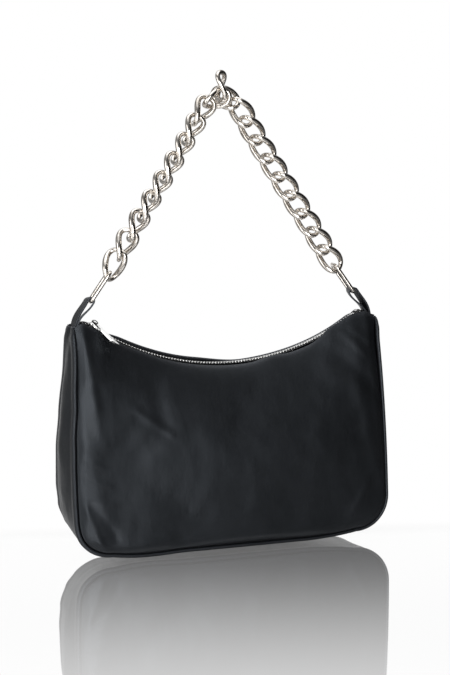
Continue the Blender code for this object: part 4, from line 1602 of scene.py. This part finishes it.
    @staticmethod
    def plate_mesh(outlines: Sequence[Sequence[Pair]], thick: float,
                   low: float) -> Mesh:
        """A flat plate with holes.

        Args:
            outlines: The outline and its holes.
            thick: Thickness.
            low: Height of its under face.

        Returns:
            The closed mesh.
        """
        curve = bpy.data.curves.new("plate", "CURVE")
        curve.dimensions = "2D"
        curve.fill_mode = "BOTH"
        curve.extrude = thick / 2
        for outline in outlines:
            spline = curve.splines.new("POLY")
            spline.points.add(len(outline) - 1)
            for point, (x, y) in zip(spline.points, outline):
                point.co = (x, y, 0.0, 1.0)
            spline.use_cyclic_u = True
        mesh = taken(linked("plate", curve))
        with edited(mesh) as shape:
            bmesh.ops.remove_doubles(shape, verts=shape.verts, dist=0.02 * MM)
            bmesh.ops.recalc_face_normals(shape, faces=shape.faces)
            bmesh.ops.translate(shape, vec=Vector((0.0, 0.0, low + thick / 2)), verts=shape.verts)
        return mesh

    @staticmethod
    def union(name: str, meshes: Sequence[Mesh]) -> Mesh:
        """Fuse overlapping closed meshes into one mesh of a name."""
        base, *tools = [linked(name, mesh) for mesh in meshes]
        for tool in tools:
            boolean = base.modifiers.new("join", "BOOLEAN")
            boolean.operation = "UNION"
            boolean.object = tool
        return taken(base, *tools)

    def build_stops(self) -> None:
        """Make the clamped stops at both ends."""
        half, web, inner = self.stop_width / 2, self.stop_web, self.form.fit / 2
        room, tall, long = self.tape_room, self.stop_rise, self.stop_length / 2
        stops = (("top_stop_front", (-web, -inner), (-half, -inner), -self.end_angle),
                 ("top_stop_back", (inner, web), (inner, half), -self.end_angle),
                 ("bottom_stop", (-web, web), (-half, half), self.end_angle))
        for name, (web_low, web_high), (low, high), angle in stops:
            mesh = self.union(name, [self.block((-long, web_low, -tall), (long, web_high, tall)),
                                     self.block((-long, low, room), (long, high, tall)),
                                     self.block((-long, low, -tall), (long, high, -room))])
            mesh.transform(self.matrix(angle))
            self.metal(name, mesh, "bag", f"zip_{name}", self.stop_bevel)

    def slider_outline(self, steps: int = 12) -> list[Pair]:
        """Shield outline of the slider's plates, with rounded corners of some steps."""
        tail, nose = (self.tail_width, self.tail_corner), (self.nose_width, self.nose_corner)
        corners = ((1, -1, *tail), (1, 1, *tail), (-1, 1, *nose), (-1, -1, *nose))
        points = []
        for number, (along, across, width, radius) in enumerate(corners):
            x, y = along * (self.slider_length / 2 - radius), across * (width / 2 - radius)
            for i in range(steps + 1):
                turn = math.pi / 2 * (number - 1 + i / steps)
                points.append((x + radius * math.cos(turn), y + radius * math.sin(turn)))
        return points

    def build_slider(self) -> None:
        """Make the slider: two plates, post, rails and the crown that holds the pull."""
        half, top = self.slider_length / 2, self.plate_height
        foot, (start, end, wide) = top + self.plate / 2, self.post
        pieces = [self.plate_mesh([self.slider_outline()], self.plate, low)
                  for low in (top, -top - self.plate)]
        pieces.append(self.block((start - half, -wide, -foot), (end - half, wide, foot)))
        out = self.tail_width / 2 - self.rail_edge
        into = self.tooth_width - self.overlap / 2 + self.form.fit
        long = half - self.rail_inset
        for low, high in ((-out, -into), (into, out)):
            for under, over in ((self.tape_room, foot), (-foot, -self.tape_room)):
                pieces.append(self.block((-long, low, under), (long, high, over)))
        pieces.append(self.crown_mesh(foot))
        mesh = self.union("slider_body", pieces)
        mesh.transform(self.matrix(self.rest_angle))
        self.metal("slider_body", mesh, "zip_slider", "zip_slider", self.slider_bevel)

    def crown_mesh(self, foot: float, steps: int = 16) -> Mesh:
        """The strip that arches over the slider and holds the pull.

        Args:
            foot: Height of its two feet.
            steps: Parts of its arch.

        Returns:
            The closed strip.
        """
        reach = self.crown_reach / 2
        spring = self.plate_height + self.plate + self.crown_rise + self.crown_strip / 2 - reach / 2
        turns = [math.pi * (1.0 - i / steps) for i in range(steps + 1)]
        arch = [(reach * math.cos(turn), spring + reach / 2 * math.sin(turn)) for turn in turns]
        path, wide = [(-reach, foot), *arch, (reach, foot)], self.crown_width / 2
        rows = [[Vector((x, y, z)) for x, z in path] for y in (-wide, wide)]
        holder = linked("crown", grid_mesh("crown", rows))
        add_wall(holder, self.crown_strip, 0.0)
        mesh = taken(holder)
        with edited(mesh) as shape:
            bmesh.ops.recalc_face_normals(shape, faces=shape.faces)
        return mesh

    def pull_matrix(self) -> Matrix:
        """Frame of the pull at rest: x across it, y along it, origin on its bar."""
        lift = self.plate_height + self.plate + self.bar_rise
        return (self.matrix(self.rest_angle) @ Matrix.Translation((0.0, 0.0, lift))
                @ Matrix.Rotation(-self.turn, 4, "Z") @ Matrix.Rotation(self.droop, 4, "Y")
                @ Matrix.Rotation(self.bank, 4, "X") @ Matrix.Rotation(-math.pi / 2, 4, "Z"))

    def build_pull(self) -> None:
        """Make the pull with its eye and three-sided window."""
        neck, end, bar = self.neck / 2, self.end / 2, self.bar / 2
        tip, cut, corner = self.pull_length - bar, self.neck_cut, self.neck_corner
        outline = [(corner - neck, -bar), (neck - corner, -bar), (neck - cut, cut - bar),
                   (neck, corner - bar)]
        for share in reversed(spread(self.end_steps)):
            soft = self.end_corner * max(0.0, abs(share) - 0.9) / 0.1
            outline.append((end * share, tip - self.end_crown * share ** 2 - soft))
        outline += [(-neck, corner - bar), (cut - neck, cut - bar)]
        wide = neck - self.bar * 0.75
        eye = [(-wide, bar), (-wide, bar + self.eye), (wide, bar + self.eye), (wide, bar)]
        long, base_width, margin = self.window
        base = tip - margin
        window = [(-base_width / 2, base), (base_width / 2, base), (0.0, base - long)]
        mesh = self.plate_mesh([outline, eye, window], self.pull_thick, -self.pull_thick / 2)
        mesh.transform(self.pull_matrix())
        self.metal("pull_tag", mesh, "zip_pull", "zip_pull", self.pull_bevel)

    def build(self) -> None:
        """Build the whole zip."""
        for face in Face:
            self.build_tape(face)
        self.build_teeth()
        self.build_stops()
        self.build_slider()
        self.build_pull()


# Studio

@dataclass(frozen=True)
class Lamp:
    """A soft rectangular lamp: where it hangs, its width and height, and its watts."""

    name: str
    place: Triple
    size: Pair
    power: float

    def build(self, aim: Vector) -> None:
        """Hang the lamp so that it points at a place."""
        data = bpy.data.lights.new(self.name, "AREA")
        data.shape = "RECTANGLE"
        data.size, data.size_y = self.size
        data.energy = self.power
        lamp = linked(self.name, data)
        lamp.location = self.place
        lamp.visible_camera = False
        lamp.rotation_euler = (aim - Vector(self.place)).to_track_quat("-Z", "Y").to_euler()


LAMPS = (Lamp("key_front", (-0.20, -1.33, 0.12), (0.34, 0.85), 5.0),
         Lamp("key_left", (-0.66, -1.16, 0.06), (0.40, 0.90), 6.0),
         Lamp("side_left", (-1.15, -0.25, 0.10), (0.5, 1.0), 4.0),
         Lamp("top_soft", (0.0, 0.1, 1.1), (1.2, 0.9), 4.0))
FLOOR_DROP = 5.0 * MM


@dataclass
class Studio:
    """A pale glossy floor, white surroundings, soft lamps and the camera."""

    floor_z: float
    floor_half: float = 3.0
    azimuth: float = math.radians(-21.5)
    elevation: float = math.radians(4.9)
    roll: float = math.radians(-0.9)
    distance: float = 1.60
    focal_px: float = 1843.0
    frame_px: float = 675.0
    sensor: float = 36.0
    aim_right: float = -0.1 * MM
    aim_up: float = -226.2 * MM
    lamp_aim: Triple = (0.0, 0.0, -0.30)

    def build_world(self) -> None:
        """White where the camera looks, a bright back and a dim front elsewhere."""
        world = bpy.data.worlds.new("studio_world")
        bpy.context.scene.world = world
        world.use_nodes = True
        graph = Graph(world.node_tree)
        right, deep, up = graph.parts(graph.node("ShaderNodeTexCoord").outputs["Generated"])
        backdrop = ((deep + 0.30 * right).ramp(0.80, 1.0) + up.ramp(0.76, 0.90)).clamp()
        above = up.ramp(0.25, 0.85)
        left = (right * -1.0 - 0.2 * deep).ramp(-0.1, 0.9)
        room = 0.004 + 0.20 * left + 0.12 * above + 0.16 * deep.ramp(0.1, 0.7)
        seen = graph.seen(backdrop)
        strength = seen + (1.0 - seen) * room
        light = graph.out("ShaderNodeBackground", {"Color": WHITE, "Strength": strength})
        graph.node("ShaderNodeOutputWorld", None, {"Surface": light})

    def build_floor(self) -> None:
        """A pale glossy sheet that keeps the bag's shadow and a washed-out reflection."""
        ends = (-self.floor_half, self.floor_half)
        rows = [[Vector((x, y, self.floor_z)) for x in ends] for y in ends]
        paint = Paint("pale_gloss_floor", {"Roughness": 0.5, "Specular IOR Level": 0.0})
        pale, paler = rgba(0.86, 0.86, 0.865), rgba(0.88, 0.88, 0.88)
        paint.feed("Base Color", paint.mix(paint.noise(3.0), pale, paler))
        right, deep, _ = paint.parts(paint.place)
        away = paint.number("ShaderNodeVectorMath", "Value", {"operation": "LENGTH"},
                            {0: paint.place})
        toward = right * math.sin(self.azimuth) - deep * math.cos(self.azimuth)
        across = right * math.cos(self.azimuth) + deep * math.sin(self.azimuth)
        polished = toward.ramp(-0.10, -0.03) * (1.0 - toward.ramp(0.48, 0.72))
        polished = polished * (1.0 - (across * across).ramp(0.035, 0.10))
        near = 1.0 - away.ramp(0.45, 0.75)
        washed = paint.seen(deep.ramp(0.0, 0.3)) * (1.0 - 0.20 * polished * near)
        kept = 1.0 - paint.number("ShaderNodeLightPath", "Is Camera Ray") * (1.0 - polished)
        share = kept * (0.33 + 0.53 * (1.0 - toward.ramp(0.0, 0.55)))
        white = paint.out("ShaderNodeEmission", {"Color": WHITE, "Strength": 1.0})
        gloss = paint.out("ShaderNodeBsdfAnisotropic", {"Color": WHITE, "Roughness": 0.03})
        lit = paint.out("ShaderNodeMixShader", {0: washed, 1: paint.shader.outputs[0], 2: white})
        both = paint.out("ShaderNodeMixShader", {0: share, 1: lit, 2: gloss})
        paint.tree.links.new(both, paint.output.inputs["Surface"])
        floor = add_sheet("studio_floor", rows, paint.material)

    def build_camera(self) -> None:
        """Put the camera at the photograph's angle."""
        a, e = self.azimuth, self.elevation
        back = Vector((math.sin(a) * math.cos(e), -math.cos(a) * math.cos(e), math.sin(e)))
        right = Vector((math.cos(a), math.sin(a), 0.0))
        up = back.cross(right)
        aim = right * self.aim_right + Vector((0.0, 0.0, self.aim_up))
        turned_right = right * math.cos(self.roll) + up * math.sin(self.roll)
        turned_up = up * math.cos(self.roll) - right * math.sin(self.roll)
        data = bpy.data.cameras.new("camera")
        data.lens = self.focal_px / self.frame_px * self.sensor
        data.sensor_width = self.sensor
        camera = linked("camera", data)
        axes = Matrix((turned_right, turned_up, back)).transposed().to_4x4()
        camera.matrix_world = Matrix.Translation(aim + back * self.distance) @ axes
        bpy.context.scene.camera = camera

    def build(self) -> None:
        """Build the whole studio."""
        bpy.context.scene.view_settings.view_transform = "Standard"
        self.build_camera()
        self.build_world()
        self.build_floor()
        for lamp in LAMPS:
            lamp.build(Vector(self.lamp_aim))


def main() -> None:
    """Build the studio, then the bag piece by piece."""
    logging.basicConfig(level=logging.INFO, format="%(name)s: %(message)s")
    finishes = Finishes()
    strap = Strap(finishes)
    bar = strap.ring_bars(Side.RIGHT)[1]
    corner_z = bar.z - Tabs.rise
    form = BagForm(base_z=corner_z - BagForm.height, corner_z=corner_z, tab_bar=(bar.x, bar.z))
    Studio(floor_z=form.base_z - FLOOR_DROP).build()
    LOG.info("studio with floor, lamps and camera")
    strap.build()
    LOG.info("curb chain of %d links and two rings", 2 * strap.links + 1)
    LeatherBody(form, finishes).build()
    Lining(form, finishes).build()
    LOG.info("lining")
    Tabs(form, finishes).build()
    LOG.info("two ring tabs")
    Zip(form, finishes).build()
    LOG.info("zip with teeth, stops, slider and pull")


if __name__ == "__main__":
    main()
